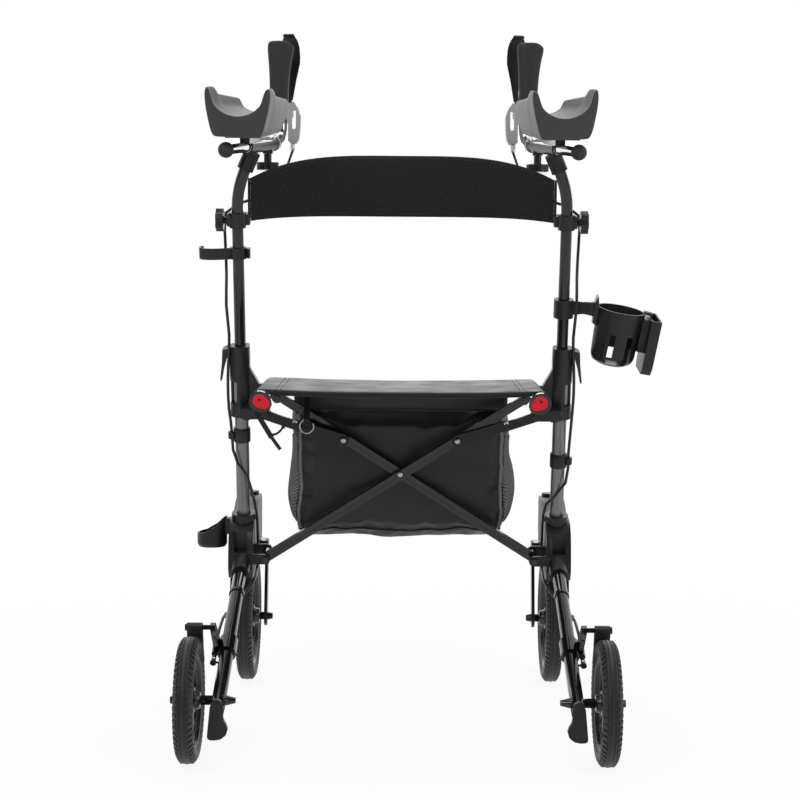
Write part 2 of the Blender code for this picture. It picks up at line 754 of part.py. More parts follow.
def rear_leg(name, side, parent):
    """Rear leg tube with its axle, cable clip, brake carrier and return spring."""
    hub_half = REAR_HUB_WIDTH / 2
    made = rod(leg_point(side, -LEG_END), leg_point(side, LEG_TOP - LEG_SOCKET_END - GAP),
               LEG_RADIUS, 16)
    y, z = BRAKE_PIVOT_Y, BRAKE_PIVOT_Z
    arm_in = abs(leg_point(side, 0.143).x) + LEG_RADIUS + 0.0020
    arm_out = arm_in + 0.0075
    arm = plate(
        [capsule(tuple(leg_point(side, 0.143, 0.004).yz), (y, z), 0.0125, 4, 0.0080)],
        arm_out - arm_in, side_plane(side * (arm_in + arm_out) / 2),
    )
    pin_end = REAR_TRACK / 2 + SHOE_WIDTH / 2 + RUNNING_GAP - arm_in
    join(
        made,
        rod(leg_point(side, 0.123), leg_point(side, 0.161), LEG_RADIUS + 0.0040, 14),
        arm,
        stepped((side * arm_in, y, z), AXIS_X * side, [
            (0.001, AXLE_RADIUS), (pin_end, AXLE_RADIUS), (pin_end, PIN_HEAD_RADIUS),
            (pin_end + 0.0025, PIN_HEAD_RADIUS)]),
        rod(leg_point(side, 0.296), leg_point(side, 0.303), LEG_RADIUS + 0.0018, 14),
        block((0.005, 0.007, 0.006), Matrix.Translation(leg_point(side, 0.2995, -0.0130))),
    )
    spacer = WHEEL_OUTSET - hub_half - RUNNING_GAP
    cap = WHEEL_OUTSET + hub_half + RUNNING_GAP
    join(made, stepped((side * LEG_FOOT_X, 0, REAR_WHEEL_RADIUS), AXIS_X * side, [
        (-0.0255, 0.0042), (-0.0080, 0.0088), (0.0, 0.0088), (0.0, 0.0075), (spacer, 0.0075),
        (spacer, AXLE_RADIUS), (cap, AXLE_RADIUS), (cap, 0.0085), (cap + 0.0110, 0.0055),
    ], 12))
    spring = []
    for i in range(SPRING_TURNS * 6 + 1):
        turn = math.tau * i / 6
        spot = leg_point(side, 0.1235 - SPRING_LENGTH * i / (SPRING_TURNS * 6), 0.0,
                         SPRING_OUT + SPRING_RADIUS * math.cos(turn))
        spring.append(spot + Vector((0, 0, SPRING_RADIUS * math.sin(turn))))
    spring[0] = leg_point(side, 0.1275, 0, SPRING_OUT - 0.001)
    seat = leg_point(side, 0.1235 - SPRING_LENGTH, 0, SPRING_OUT)
    low = leg_point(side, 0.1235 - SPRING_LENGTH - 0.004, 0, SPRING_OUT)
    join(
        made,
        rod(leg_point(side, 0.1225, 0, SPRING_OUT), leg_point(side, CABLE_STOP, 0, SPRING_OUT),
            0.0052, 10),
        pipe(spring, SPRING_WIRE, 0),
        rod(low, seat, 0.0052, 10),
        rod(leg_point(side, 0.1235 - SPRING_LENGTH - 0.002, 0, LEG_RADIUS - 0.003),
            leg_point(side, 0.1235 - SPRING_LENGTH - 0.002, 0, SPRING_OUT), 0.0018, 8),
    )
    cut(made, rod(leg_point(side, -LEG_END - 0.01), leg_point(side, -LEG_END + 0.0115),
                  LEG_RADIUS - 0.0022, 14))
    return finish(made, name, grey_tube, parent)


def foot_pedal(name, side, parent):
    """Tipping pedal that plugs the lower end of the rear leg."""
    shape = [
        (0.0024, 0.1050), (0.0102, 0.0964), (0.0137, 0.0611), (0.0151, 0.0455),
        (0.0123, 0.0420), (-0.0004, 0.0416), (-0.0103, 0.0455), (-0.0160, 0.0540),
        (-0.0160, 0.0625), (-0.0103, 0.0710), (-0.0089, 0.0766), (-0.0100, 0.0964),
        (-0.0032, 0.1035),
    ]
    outline = [(side * (LEG_FOOT_X + a), b) for a, b in rounded(shape, 0.004, 1)]
    rear = leg_point(side, -LEG_END).y - 0.0105
    made = plate([outline], 0.0090, back_plane(rear + 0.0005))
    join(
        made,
        rod(leg_point(side, -LEG_END - 0.011), leg_point(side, -LEG_END - GAP), LEG_RADIUS - 0.0005, 16),
        rod(leg_point(side, -LEG_END - 0.005), leg_point(side, -LEG_END + 0.011),
            LEG_RADIUS - 0.0022 - GAP, 14),
    )
    return finish(made, name, black, parent)


def brake_shoe(name, side, parent):
    """Shoe that swings down against the tyre about the pin on the brake carrier."""
    centre = (0.0, REAR_WHEEL_RADIUS)
    face, back = REAR_WHEEL_RADIUS + SHOE_GAP, REAR_WHEEL_RADIUS + SHOE_GAP + 0.011
    pad = circle(face, 5, centre, 20, 26) + circle(back, 5, centre, 46, -26)
    middle = side * REAR_TRACK / 2
    made = plate([pad], SHOE_WIDTH, side_plane(middle))
    y, z = BRAKE_PIVOT_Y, BRAKE_PIVOT_Z
    knee = math.radians(37)
    root = ((back - 0.002) * math.cos(knee), REAR_WHEEL_RADIUS + (back - 0.002) * math.sin(knee))
    join(made, plate([capsule((y, z), root, 0.0078, 4, 0.006)], SHOE_WIDTH - 0.0004, side_plane(middle)))
    cut(made, rod((middle - 0.03, y, z), (middle + 0.03, y, z), AXLE_RADIUS + PIN_CLEARANCE, 10))
    return finish(made, name, black, parent)


def front_fork(name, side, parent):
    """Swivelling fork with its stem and the axle it carries."""
    x, y = side * POST_X, WHEELBASE + CASTER_TRAIL
    middle = side * FRONT_TRACK / 2
    leg_x = FORK_LEG_SPACING / 2
    crown_top = CASTER_HOUSING_BOTTOM - 0.0025
    crown_bottom = crown_top - FORK_CROWN_THICKNESS
    half = leg_x + FORK_LEG_THICKNESS / 2
    crown = rounded(
        [(middle - half, y - 0.020), (middle + half, y - 0.020), (middle + half, y + 0.016),
         (middle - half, y + 0.016)], 0.006, 1,
    )
    made = plate([crown], FORK_CROWN_THICKNESS,
                 Matrix.Translation((0, 0, (crown_top + crown_bottom) / 2)))
    axle = FRONT_WHEEL_RADIUS
    leg = capsule((y - 0.004, crown_bottom + 0.004), (WHEELBASE, axle - 0.0045), 0.0100, 4, 0.0125)
    for way in (-1, 1):
        join(made, plate([leg], FORK_LEG_THICKNESS, side_plane(middle + way * leg_x)))
    shoulder = FRONT_HUB_WIDTH / 2 + RUNNING_GAP
    nut = leg_x + 0.0125
    join(
        made,
        stepped((middle, WHEELBASE, axle), AXIS_X, [
            (-nut, 0.0052), (-leg_x, 0.0080), (-leg_x, 0.0070), (-shoulder, 0.0070),
            (-shoulder, AXLE_RADIUS), (shoulder, AXLE_RADIUS), (shoulder, 0.0070),
            (leg_x, 0.0070), (leg_x, 0.0080), (nut, 0.0052)]),
        stepped((x, y, crown_top), AXIS_Z, [
            (-0.003, 0.012), (CASTER_HOUSING_BOTTOM - RUNNING_GAP - crown_top, 0.012),
            (CASTER_HOUSING_BOTTOM - RUNNING_GAP - crown_top, STEM_RADIUS),
            (CASTER_HOUSING_BOTTOM + STEM_LENGTH - crown_top, STEM_RADIUS)], 12),
    )
    return finish(made, name, dark_metal, parent)


def hub_casting(name, side, parent):
    """Clamp at the top of the lower tube, with the rail cradle and the lock link's lug."""
    x = side * POST_X
    made = rod(lean(x, 0, HUB_BOTTOM), lean(x, 0, HUB_TOP), HUB_RADIUS, 16)
    rail = side * RAIL_X
    gusset = [
        (side * a, b) for a, b in (
            (POST_X - 0.004, HUB_TOP - 0.002), (POST_X - 0.0175, HUB_TOP - 0.014),
            (RAIL_X + 0.0255, RAIL_U + 0.0254), (RAIL_X + 0.0227, RAIL_U - 0.0101),
            (RAIL_X + 0.0227, RAIL_U - 0.0376), (POST_X - 0.017, HUB_BOTTOM + 0.003),
            (POST_X - 0.004, HUB_BOTTOM + 0.001),
        )
    ]
    join(made, plate([gusset], HUB_DEPTH * 0.75, brace_plane(0)))
    floor = RAIL_HEIGHT - RAIL_RADIUS - GAP
    depth_y = lean(0, 0, RAIL_U + 0.0010).y
    cradle = [
        (side * a, floor + b) for a, b in (
            (POST_X - 0.0200, -0.021), (POST_X - 0.0200, 0.012), (RAIL_X + 0.0167, 0.012),
            (RAIL_X + 0.0123, 0.006), (RAIL_X + 0.0117, 0), (RAIL_X - 0.0115, 0),
            (RAIL_X - 0.0115, 0.007), (RAIL_X - 0.0160, 0.007), (RAIL_X - 0.0160, -0.005),
            (RAIL_X + 0.0005, -0.012),
        )
    ]
    join(made, plate([cradle], HUB_DEPTH * 0.8, back_plane(depth_y)))
    lock, u = side * LOCK_PIVOT_X, LOCK_PIVOT_HEIGHT
    lug = plate([capsule((lock, u), (side * (POST_X - 0.008), u), LUG_RADIUS, 5)], LUG_DEPTH,
                brace_plane(-ARM_REAR + LUG_DEPTH / 2 - BAR_LAYER_GAP / 2))
    web = block(
        (0.011, ARM_REAR - 0.004, 0.020),
        Matrix.Translation(lean(side * (POST_X - 0.0135), -(ARM_REAR + 0.004) / 2, u))
        @ Matrix.Rotation(LEAN, 4, "X"),
    )
    join(
        made, lug, web,
        stepped(lean(lock, -LINK_REAR, u), -FORWARD, [
            (-0.009, PIN_RADIUS), (GAP, PIN_RADIUS), (GAP, PIN_HEAD_RADIUS),
            (GAP + PIN_HEAD_THICKNESS, PIN_HEAD_RADIUS)]),
    )
    for f in (-0.0113, 0.0113):
        ear = plate(
            [capsule((side * LEVER_PIVOT_X, LEVER_PIVOT_U), (side * (POST_X + 0.010), LEVER_PIVOT_U),
                     0.0048, 4, 0.0075)], 0.0030, brace_plane(f),
        )
        join(made, ear)
    join(made, rod(lean(side * LEVER_PIVOT_X, -0.0125, LEVER_PIVOT_U),
                   lean(side * LEVER_PIVOT_X, 0.0125, LEVER_PIVOT_U), 0.0020, 8))
    window = block(
        (0.024, 0.030, HUB_WINDOW_TOP - HUB_WINDOW_BOTTOM),
        Matrix.Translation(lean(x + side * 0.0172, -0.0105, (HUB_WINDOW_TOP + HUB_WINDOW_BOTTOM) / 2))
        @ Matrix.Rotation(LEAN, 4, "X"),
    )
    cut(
        made,
        rod(lean(x, 0, HUB_BOTTOM - 0.01), lean(x, 0, TUBE_TOP + GAP), TUBE_RADIUS + GAP, 18),
        rod(lean(x, 0, TUBE_TOP - 0.01), lean(x, 0, HUB_TOP + 0.01), POST_RADIUS + GAP, 18),
        window,
    )
    return finish(made, name, black, parent)


def height_lever(name, side, parent):
    """Flap lever that clamps the post, hinged between the hub's ears."""
    x, u = LEVER_PIVOT_X, LEVER_PIVOT_U
    outline = [
        (side * a, b) for a, b in (
            (x - 0.0010, u + 0.004), (x + 0.0050, u + 0.003), (x + 0.0062, u - 0.020),
            (x + 0.0098, u - 0.050), (x + 0.0074, u - 0.052), (x + 0.0030, u - 0.030),
            (x - 0.0022, u - 0.012), (x - 0.0040, u - 0.002),
        )
    ]
    made = plate([outline], 0.0180, brace_plane(0))
    join(made, rod(lean(side * x, -0.0088, u), lean(side * x, 0.0088, u), 0.0046, 12))
    cut(made, rod(lean(side * x, -0.02, u), lean(side * x, 0.02, u), 0.0023, 8))
    return finish(made, name, black, parent)


def handle_post(name, side, parent):
    """Height-adjusting post, straight inside the lower tube and bent inwards at the top."""
    path = [(POST_X, POST_BOTTOM), (POST_X, 0.855), (0.2688, 0.877), (0.2643, 0.899),
            (0.2565, 0.922), (POST_TOP_X, POST_TOP)]
    made = pipe([lean(side * x, 0, u) for x, u in path], POST_RADIUS, 5)
    return finish(made, name, gloss_metal, parent)


def bar_point(side, s, drop=0.0):
    """A point s along the forearm bar from its ball end."""
    ball_end = Vector((side * BALL_SPREAD, BALL_Y, BALL_Z))
    corner = Vector((side * BAR_END_SPREAD, BAR_END_Y, BAR_END_Z))
    return ball_end + (corner - ball_end).normalized() * s - AXIS_Z * drop


def pad_frame(side):
    """Frame at the rear lower edge of the forearm pad: X inboard to outboard, Y forward."""
    toe = math.radians(PAD_TOE_DEGREES) * side
    return (
        Matrix.Translation((side * PAD_REAR_SPREAD, PAD_REAR_Y, PAD_BOTTOM))
        @ Matrix.Rotation(toe, 4, "Z")
        @ Matrix.Rotation(math.radians(PAD_PITCH_DEGREES), 4, "X")
    )


def arm_bracket(name, side, parent):
    """Clamp that joins the post, the sliding forearm bar and the pad's plate."""
    frame = pad_frame(side)
    top = lean(side * POST_TOP_X, 0, POST_TOP)
    below = lean(side * 0.2565, 0, 0.922)
    way = (top - below).normalized()
    start, end = bar_point(side, SLEEVE_START), bar_point(side, SLEEVE_END)
    made = rod(start, end, SLEEVE_RADIUS, 16)
    rim = bar_point(side, SLEEVE_END + 0.004)
    knob = bar_point(side, KNOB_ALONG)
    join(
        made,
        rod(bar_point(side, SLEEVE_END - 0.002), rim, SLEEVE_RADIUS + 0.0012, 16),
        rod(top - way * 0.021, top + way * 0.010, POST_RADIUS + 0.0042, 16),
        rod(knob - AXIS_Z * 0.004, knob - AXIS_Z * KNOB_DROP, 0.0088, 12),
        block((0.058, 0.120, 0.0040), frame @ Matrix.Translation((0, 0.092, -0.0020 - GAP))),
        block((0.016, 0.100, 0.0120), frame @ Matrix.Translation((side * 0.004, 0.112, -0.0085))),
    )
    cut(
        made,
        rod(bar_point(side, SLEEVE_START - 0.02), bar_point(side, SLEEVE_END + 0.02),
            ARM_BAR_RADIUS + GAP, 16),
        rod(top - way * 0.06, top + way * GAP, POST_RADIUS + GAP, 16),
        rod(knob, knob - AXIS_Z * (KNOB_DROP + 0.01), KNOB_STEM + PIN_CLEARANCE, 8),
    )
    return finish(made, name, dark_metal, parent)


def star_knob(name, centre, way, length, stem, material, parent):
    """Lobed clamping knob: its head lies at centre, its neck and stem run along way."""
    matrix = along(centre, centre + way)
    outline = []
    for i in range(KNOB_LOBES * 3):
        swell = 0.83 if i % 3 == 2 else 1.0
        turn = math.tau * i / (KNOB_LOBES * 3)
        outline.append((KNOB_RADIUS * swell * math.cos(turn), KNOB_RADIUS * swell * math.sin(turn)))
    made = plate([outline], 0.0125, matrix)
    join(
        made,
        rod(centre, centre + way * length, 0.0065, 10),
        rod(centre + way * (length - 0.002), centre + way * stem, KNOB_STEM, 8),
    )
    return finish(made, name, material, parent)


def arm_pad(name, side, parent):
    """Forearm trough: a soft block with two rounded lips, narrower at the front."""
    half_shape = [
        (0.0, 0.0, 0.0), (0.60, 0.0, 0.0), (0.78, 0.004, 0.0), (0.90, 0.016, 0.0),
        (0.98, 0.0, 0.45), (1.0, 0.0, 0.72), (0.97, -0.004, 1.0), (0.90, 0.0, 1.0),
        (0.79, -0.003, 1.0), (0.68, 0.0, 0.84), (0.53, 0.0, 0.66), (0.36, 0.0, 0.53),
        (0.18, 0.0, 0.455),
    ]
    frame = pad_frame(side)
    rings = []
    for k in range(PAD_RINGS + 1):
        t = k / PAD_RINGS
        edge = {0: 0.955, PAD_RINGS: 0.955}.get(k, 1.0)
        t = {1: 0.018, PAD_RINGS - 1: 0.982}.get(k, t)
        width = blend(PAD_WIDTH, PAD_FRONT_WIDTH, t) / 2 * edge
        lip = blend(PAD_LIP, PAD_FRONT_LIP, t)
        crown = 0.0022 * math.sin(math.pi * t)
        right = [(a * width, max(0.0, b + c * lip)) for a, b, c in half_shape]
        left = [(-a, b) for a, b in reversed(right[1:])]
        middle = (0.0, PAD_BASE + crown)
        lift = (1 - edge) * PAD_BASE
        ring = right + [middle] + left
        rings.append([
            frame @ Vector((a, t * PAD_LENGTH, lift * 0.6 + b * (1 - (1 - edge) * 0.8)))
            for a, b in ring
        ])
    return finish(loft(rings), name, pad_foam, parent)


def handle_bar(name, side, parent):
    """Chromed bar that slides in the bracket and turns up into the hand grip."""
    corner = Vector((side * BAR_END_SPREAD, BAR_END_Y, BAR_END_Z))
    top = Vector((corner.x, corner.y, ARM_BAR_TOP))
    made = pipe(bent([bar_point(side, 0.004), corner, top], ARM_BAR_BEND, 6), ARM_BAR_RADIUS, 4)
    join(made, ball(bar_point(side, 0), BALL_RADIUS, 14))
    return finish(made, name, chrome, parent)


def hand_grip(name, side, parent):
    """Upright grip, wider at the top, closed over the end of the bar."""
    rings = []
    rows = ((0.0, 0.90), (0.03, 1.0), (0.35, 0.98), (0.70, 1.0), (0.93, 1.0), (0.985, 0.92), (1, 0.74))
    for t, size in rows:
        width = blend(GRIP_WIDTH, GRIP_TOP_WIDTH, t ** 1.5) / 2 * size
        depth = GRIP_DEPTH / 2 * size
        z = blend(GRIP_BOTTOM, GRIP_TOP, t)
        ring = []
        for i in range(14):
            c, s = math.cos(math.tau * i / 14), math.sin(math.tau * i / 14)
            a = math.copysign(abs(c) ** 0.8, c) * width
            b = math.copysign(abs(s) ** 0.8, s) * depth
            ring.append((side * BAR_END_SPREAD + a, BAR_END_Y + b, z))
        rings.append(ring)
    made = loft(rings)
    x, y = side * BAR_END_SPREAD, BAR_END_Y
    cut(made, rod((x, y, GRIP_BOTTOM - 0.02), (x, y, ARM_BAR_TOP + GAP), ARM_BAR_RADIUS + GAP, 14))
    return finish(made, name, grip_rubber, parent)


def lever_housing(name, side, parent):
    """Brake housing beside the bar: clamp ring, see-through slot, lever lug and ferrule."""
    x, y = side * BAR_END_SPREAD, BAR_END_Y
    outline = [
        (side * a, b) for a, b in (
            (0.1985, 1.0215), (0.1985, 0.990), (0.1962, 0.985), (0.1962, 0.957),
            (0.1925, 0.9535), (0.1815, 0.9535), (0.1772, 0.962), (0.1755, 0.982),
            (0.1748, 0.998), (0.1790, 1.0120), (0.1868, 1.0235), (0.1925, 1.0215),
        )
    ]
    slot = capsule((side * 0.1866, 0.9805), (side * 0.1866, 1.0065), 0.0036, 5)
    made = plate([outline, slot], 0.0250, back_plane(y - 0.001))
    lug_x = side * LEVER_X
    join(
        made,
        rod((x, y, HOUSING_RING_BOTTOM), (x, y, GRIP_BOTTOM - RUNNING_GAP), 0.0138, 14),
        plate([capsule((y + 0.006, LEVER_HINGE_Z), (LEVER_HINGE_Y, LEVER_HINGE_Z), 0.0072)],
              LEVER_LUG, side_plane(lug_x)),
        rod((side * FERRULE_X, y - 0.003, 0.956), (side * FERRULE_X, y - 0.003, 0.9405), 0.0042, 8),
    )
    cut(
        made,
        rod((x, y, HOUSING_RING_BOTTOM - 0.03), (x, y, GRIP_BOTTOM + 0.03), ARM_BAR_RADIUS + GAP, 14),
        rod((lug_x - 0.02, LEVER_HINGE_Y, LEVER_HINGE_Z), (lug_x + 0.02, LEVER_HINGE_Y, LEVER_HINGE_Z),
            0.0023, 8),
    )
    return finish(made, name, housing_grey, parent)


def strip(path, thickness):
    """Outline of a strip of even thickness along a list of flat points."""
    path = [Vector((a, b, 0)) for a, b in path]
    left, right = [], []
    for i, p in enumerate(path):
        way = (path[min(i + 1, len(path) - 1)] - path[max(i - 1, 0)]).normalized()
        normal = Vector((-way.y, way.x, 0)) * thickness / 2
        left.append(tuple((p + normal).xy))
        right.append(tuple((p - normal).xy))
    return left + right[::-1]


def brake_lever(name, side, parent):
    """Long lever in front of the grip, hooked back over its top."""
    x = side * LEVER_X
    hinge = (LEVER_HINGE_Y, LEVER_HINGE_Z)
    upper = smooth_path(
        [(0.4800, 1.030, 0), (0.4920, 1.060, 0), (0.4960, 1.100, 0), (0.4880, 1.130, 0),
         (0.4700, 1.1440, 0), (0.4520, 1.1410, 0)], 11)
    made = plate([strip([(p.x, p.y) for p in upper], LEVER_THICKNESS)], LEVER_WIDTH,
                 side_plane(x))
    narrow = LEVER_LUG + 0.0070
    low = plate([strip([hinge, (0.4735, 1.0180), (0.4810, 1.0330)], 0.0072)], narrow, side_plane(x))
    join(made, low, rod((x - narrow / 2 + 0.0002, *hinge), (x + narrow / 2 - 0.0002, *hinge), 0.0060, 12))
    slot = block((LEVER_LUG + RUNNING_GAP * 2, 0.0175, 0.0185),
                 Matrix.Translation((x, LEVER_HINGE_Y, LEVER_HINGE_Z + 0.001)))
    cut(made, slot)
    join(made, rod((x - narrow / 2 + 0.001, *hinge), (x + narrow / 2 - 0.001, *hinge), 0.0020, 8))
    return finish(made, name, black, parent)


def backrest_bracket(name, side, parent):
    """Clamp on the post with a knob boss outboard and a blade inboard for the strap."""
    x, u = side * POST_X, BACKREST_CLAMP
    made = rod(lean(x, 0, u - 0.0125), lean(x, 0, u + 0.0125), CLAMP_RADIUS, 16)
    blade = rounded([(0.012, u - 0.009), (0.033, u - 0.009), (0.033, u + 0.065),
                     (0.020, u + 0.065), (0.012, u + 0.030)], 0.005, 1)
    blade_x = side * (BLADE_X + 0.0020)
    matrix = axes(lean(blade_x, 0, 0), FORWARD, UPWARD)
    join(
        made,
        plate([blade], 0.0040, matrix),
        block((0.0130, 0.0240, 0.0180), Matrix.Translation(
            lean(side * (BLADE_X + 0.0065), 0.0130, u)) @ Matrix.Rotation(LEAN, 4, "X")),
        rod((side * (POST_X + 0.008), *lean(0, 0, u).yz), (side * KNOB_BOSS_X, *lean(0, 0, u).yz),
            0.0110, 12),
    )
    cut(
        made,
        rod(lean(x, 0, u - 0.03), lean(x, 0, u + 0.03), POST_RADIUS + GAP, 16),
        rod((side * (POST_X + 0.010), *lean(0, 0, u).yz), (side * 0.30, *lean(0, 0, u).yz),
            KNOB_STEM + PIN_CLEARANCE, 8),
    )
    return finish(made, name, black, parent)


def backrest_strap(parent):
    """Mesh band bowed forward between the two brackets."""
    rings = []
    half = BLADE_X - RUNNING_GAP
    for k in range(17):
        t = -1 + k / 8
        bow = 1 - t * t
        top = 0.8890 + 0.0420 * (1 - abs(t) ** 3.5)
        bottom = 0.8190 + 0.0095 * (1 - abs(t) ** 4.4)
        thick = blend(0.008, BAND_THICKNESS, bow) / 2
        y = lean(0, 0.0225, 0.873).y + BAND_BOW * bow
        tilt = -0.018 * (1 - bow)
        middle, tall = (top + bottom) / 2, (top - bottom) / 2
        ring = []
        for a, b in ((-1, 0.5), (-0.45, 1), (0.45, 1), (1, 0.5), (1, -0.5), (0.45, -1),
                     (-0.45, -1), (-1, -0.5)):
            rise = b if abs(b) == 1 else b * 1.9
            ring.append((t * half, y + a * thick + tilt * rise * 0.5, middle + rise * tall))
        rings.append(ring)
    return finish(loft(rings), "backrest_strap", mesh_fabric, parent)


def cane_clip(parent):
    """Spring clip on the left post that holds a walking stick's upper end."""
    x, u = -POST_X, CANE_CLIP_U
    made = rod(lean(x, 0, u - 0.0095), lean(x, 0, u + 0.0095), CLAMP_RADIUS, 16)
    clip = smooth_path([(-0.2800, -0.0050, 0), (-0.2960, -0.0110, 0), (-0.3160, -0.0135, 0),
                        (-0.3290, -0.0100, 0), (-0.3335, 0.0000, 0), (-0.3290, 0.0100, 0)], 9)
    matrix = axes(lean(0, 0, u), AXIS_X, FORWARD)
    join(
        made,
        plate([strip([(p.x, p.y) for p in clip], 0.0032)], 0.0190, matrix),
        plate([rounded([(-0.258, -0.004), (-0.250, -0.009), (-0.250, 0.009), (-0.258, 0.004)],
                       0.002, 1)], 0.0160, matrix),
    )
    cut(made, rod(lean(x, 0, u - 0.03), lean(x, 0, u + 0.03), POST_RADIUS + GAP, 16))
    return finish(made, "cane_clip", black, parent)


def cane_cup(parent):
    """Small cup beside the left casting for a walking stick's foot, low on the outside."""
    centre = (-0.3245, 0.410)
    made = turned(
        [
            (0, 0.2630), (0.0215, 0.2630), (0.0232, 0.2655), (0.0236, 0.3120), (0.0260, 0.3120),
            (0.0257, 0.2650), (0.0230, 0.2600), (0, 0.2600),
        ],
        Matrix.Translation((*centre, 0)), 20,
    )
    slant = [(-0.362, 0.2815), (-0.335, 0.2860), (-0.318, 0.2960), (-0.306, 0.3080),
             (-0.300, 0.3140), (-0.300, 0.330), (-0.362, 0.330)]
    face = -(CASTING_MIDDLE + CASTING_WIDTH / 2 + GAP)
    cut(made, plate([slant], 0.07, back_plane(centre[1])))
    foot = plate([rounded([(-0.3012, 0.282), (face, 0.282), (face, 0.3095), (-0.3012, 0.3095)],
                          0.002, 1)], 0.022, back_plane(centre[1]))
    join(made, foot)
    return finish(made, "cane_cup", black, parent)


def cup_clamp(parent):
    """Clamp on the right post with two cheeks for the cup holder's arm."""
    y, z = CUP_RIM_Y - 0.0047, CUP_PIVOT_Z
    u = CUP_CLAMP_U
    made = rod(lean(POST_X, 0, u - 0.0155), lean(POST_X, 0, u + 0.0155), 0.0165, 16)
    for way in (-1, 1):
        cheek = capsule((POST_X + 0.010, z), (CUP_PIVOT_X, z), 0.0118, 5, 0.0100)
        join(made, plate([cheek], 0.0040, back_plane(y + way * CHEEK_OFFSET)))
    reach = CHEEK_OFFSET + 0.0020
    join(made, stepped((CUP_PIVOT_X, y, z), AXIS_Y, [
        (-reach - 0.0028, 0.0058), (-reach + 0.001, 0.0058), (-reach + 0.001, 0.0030),
        (reach - 0.001, 0.0030), (reach - 0.001, 0.0058), (reach + 0.0028, 0.0058)]))
    cut(made, rod(lean(POST_X, 0, u - 0.04), lean(POST_X, 0, u + 0.04), POST_RADIUS + GAP, 16))
    return finish(made, "cup_clamp", black, parent)


def cup_holder(parent):
    """Open cup with a slotted side, its arm, and a phone pocket on the outside."""
    tilt = math.radians(CUP_TILT_DEGREES)
    axis = Vector((math.sin(tilt), 0, math.cos(tilt)))
    base = Vector((CUP_RIM_X, CUP_RIM_Y, CUP_RIM_Z)) - axis * CUP_HEIGHT
    frame = axes(base, (math.cos(tilt), 0, -math.sin(tilt)), AXIS_Y)
    upright = frame @ Matrix.Rotation(math.radians(90), 4, "X")
    low = CUP_RADIUS - 0.0035
    made = turned(
        [
            (0, 0.0030), (low - 0.0075, 0.0030), (low - CUP_WALL, 0.0080),
            (CUP_RADIUS - CUP_WALL, CUP_HEIGHT), (CUP_RADIUS, CUP_HEIGHT), (low, 0.0075),
            (low - 0.0065, 0.0), (0, 0.0),
        ],
        frame, 24,
    )
    window = [(-0.0141, 0.0055), (0.0244, 0.0055), (0.0244, 0.0570), (0.0148, 0.0570),
              (0.0148, 0.0190), (0.0120, 0.0150), (-0.0020, 0.0150), (-0.0051, 0.0190),
              (-0.0051, 0.0570), (-0.0141, 0.0570)]
    far = [(-0.0160, 0.0055), (0.0150, 0.0055), (0.0150, 0.0230), (-0.0160, 0.0230)]
    cut(
        made,
        plate([window], 0.024, frame @ Matrix.Translation((0, -0.034, 0)) @ Matrix.Rotation(
            math.radians(90), 4, "X")),
        plate([rounded(far, 0.004, 2)], 0.024, frame @ Matrix.Translation((0, 0.034, 0))
              @ Matrix.Rotation(math.radians(90), 4, "X")),
    )
    pocket_x = 0.0570
    shell = block((POCKET_THICKNESS, POCKET_WIDTH, POCKET_HEIGHT),
                  frame @ Matrix.Translation((pocket_x, 0, POCKET_HEIGHT / 2 - 0.007)))
    cut(shell, block((POCKET_THICKNESS - 0.0050, POCKET_WIDTH - 0.0060, POCKET_HEIGHT),
                     frame @ Matrix.Translation((pocket_x, 0, POCKET_HEIGHT / 2 - 0.004))))
    shell = applied(shell)
    web = block((0.0125, 0.028, 0.056), frame @ Matrix.Translation((0.04375, 0, 0.0600)))
    hook = [(0.0388, 0.082), (0.0403, 0.082), (0.0405, 0.0955), (0.0500, 0.0945),
            (0.0500, 0.0885), (0.0530, 0.0885), (0.0530, 0.0985), (0.0388, 0.0998)]
    outer = applied(join(shell, web, plate([hook], 0.014, upright)))
    z = CUP_PIVOT_Z
    arm = [(CUP_PIVOT_X + 0.002, z + 0.0100), (0.3220, z + 0.0105), (0.3255, z + 0.0190),
           (0.3272, z + 0.0215), (0.3285, z + 0.0040), (0.3240, z - 0.0270),
           (0.3185, z - 0.0250), (0.3195, z - 0.0130), (CUP_PIVOT_X + 0.002, z - 0.0100)]
    pivot = (CUP_PIVOT_X, CUP_RIM_Y - 0.0047, z)
    tongue = plate([arm], 0.0090, back_plane(pivot[1]))
    mount = plate([[(a + 0.0002, b) for a, b in arm[1:8]]], 0.0260, back_plane(CUP_RIM_Y))
    eye = rod((pivot[0], pivot[1] - 0.0044, z), (pivot[0], pivot[1] + 0.0044, z), 0.0098, 14)
    join(made, outer, applied(join(tongue, mount, eye)))
    cut(made, rod((pivot[0], pivot[1] - 0.02, z), (pivot[0], pivot[1] + 0.02, z), 0.0033, 8))
    return finish(made, "cup_holder", black, parent)


def bar_at(way, d):
    """Point d beyond the brace's centre on the bar that rises to that side."""
    return (way * d * math.cos(BRACE_OPEN), CENTRE_U + d * math.sin(BRACE_OPEN))


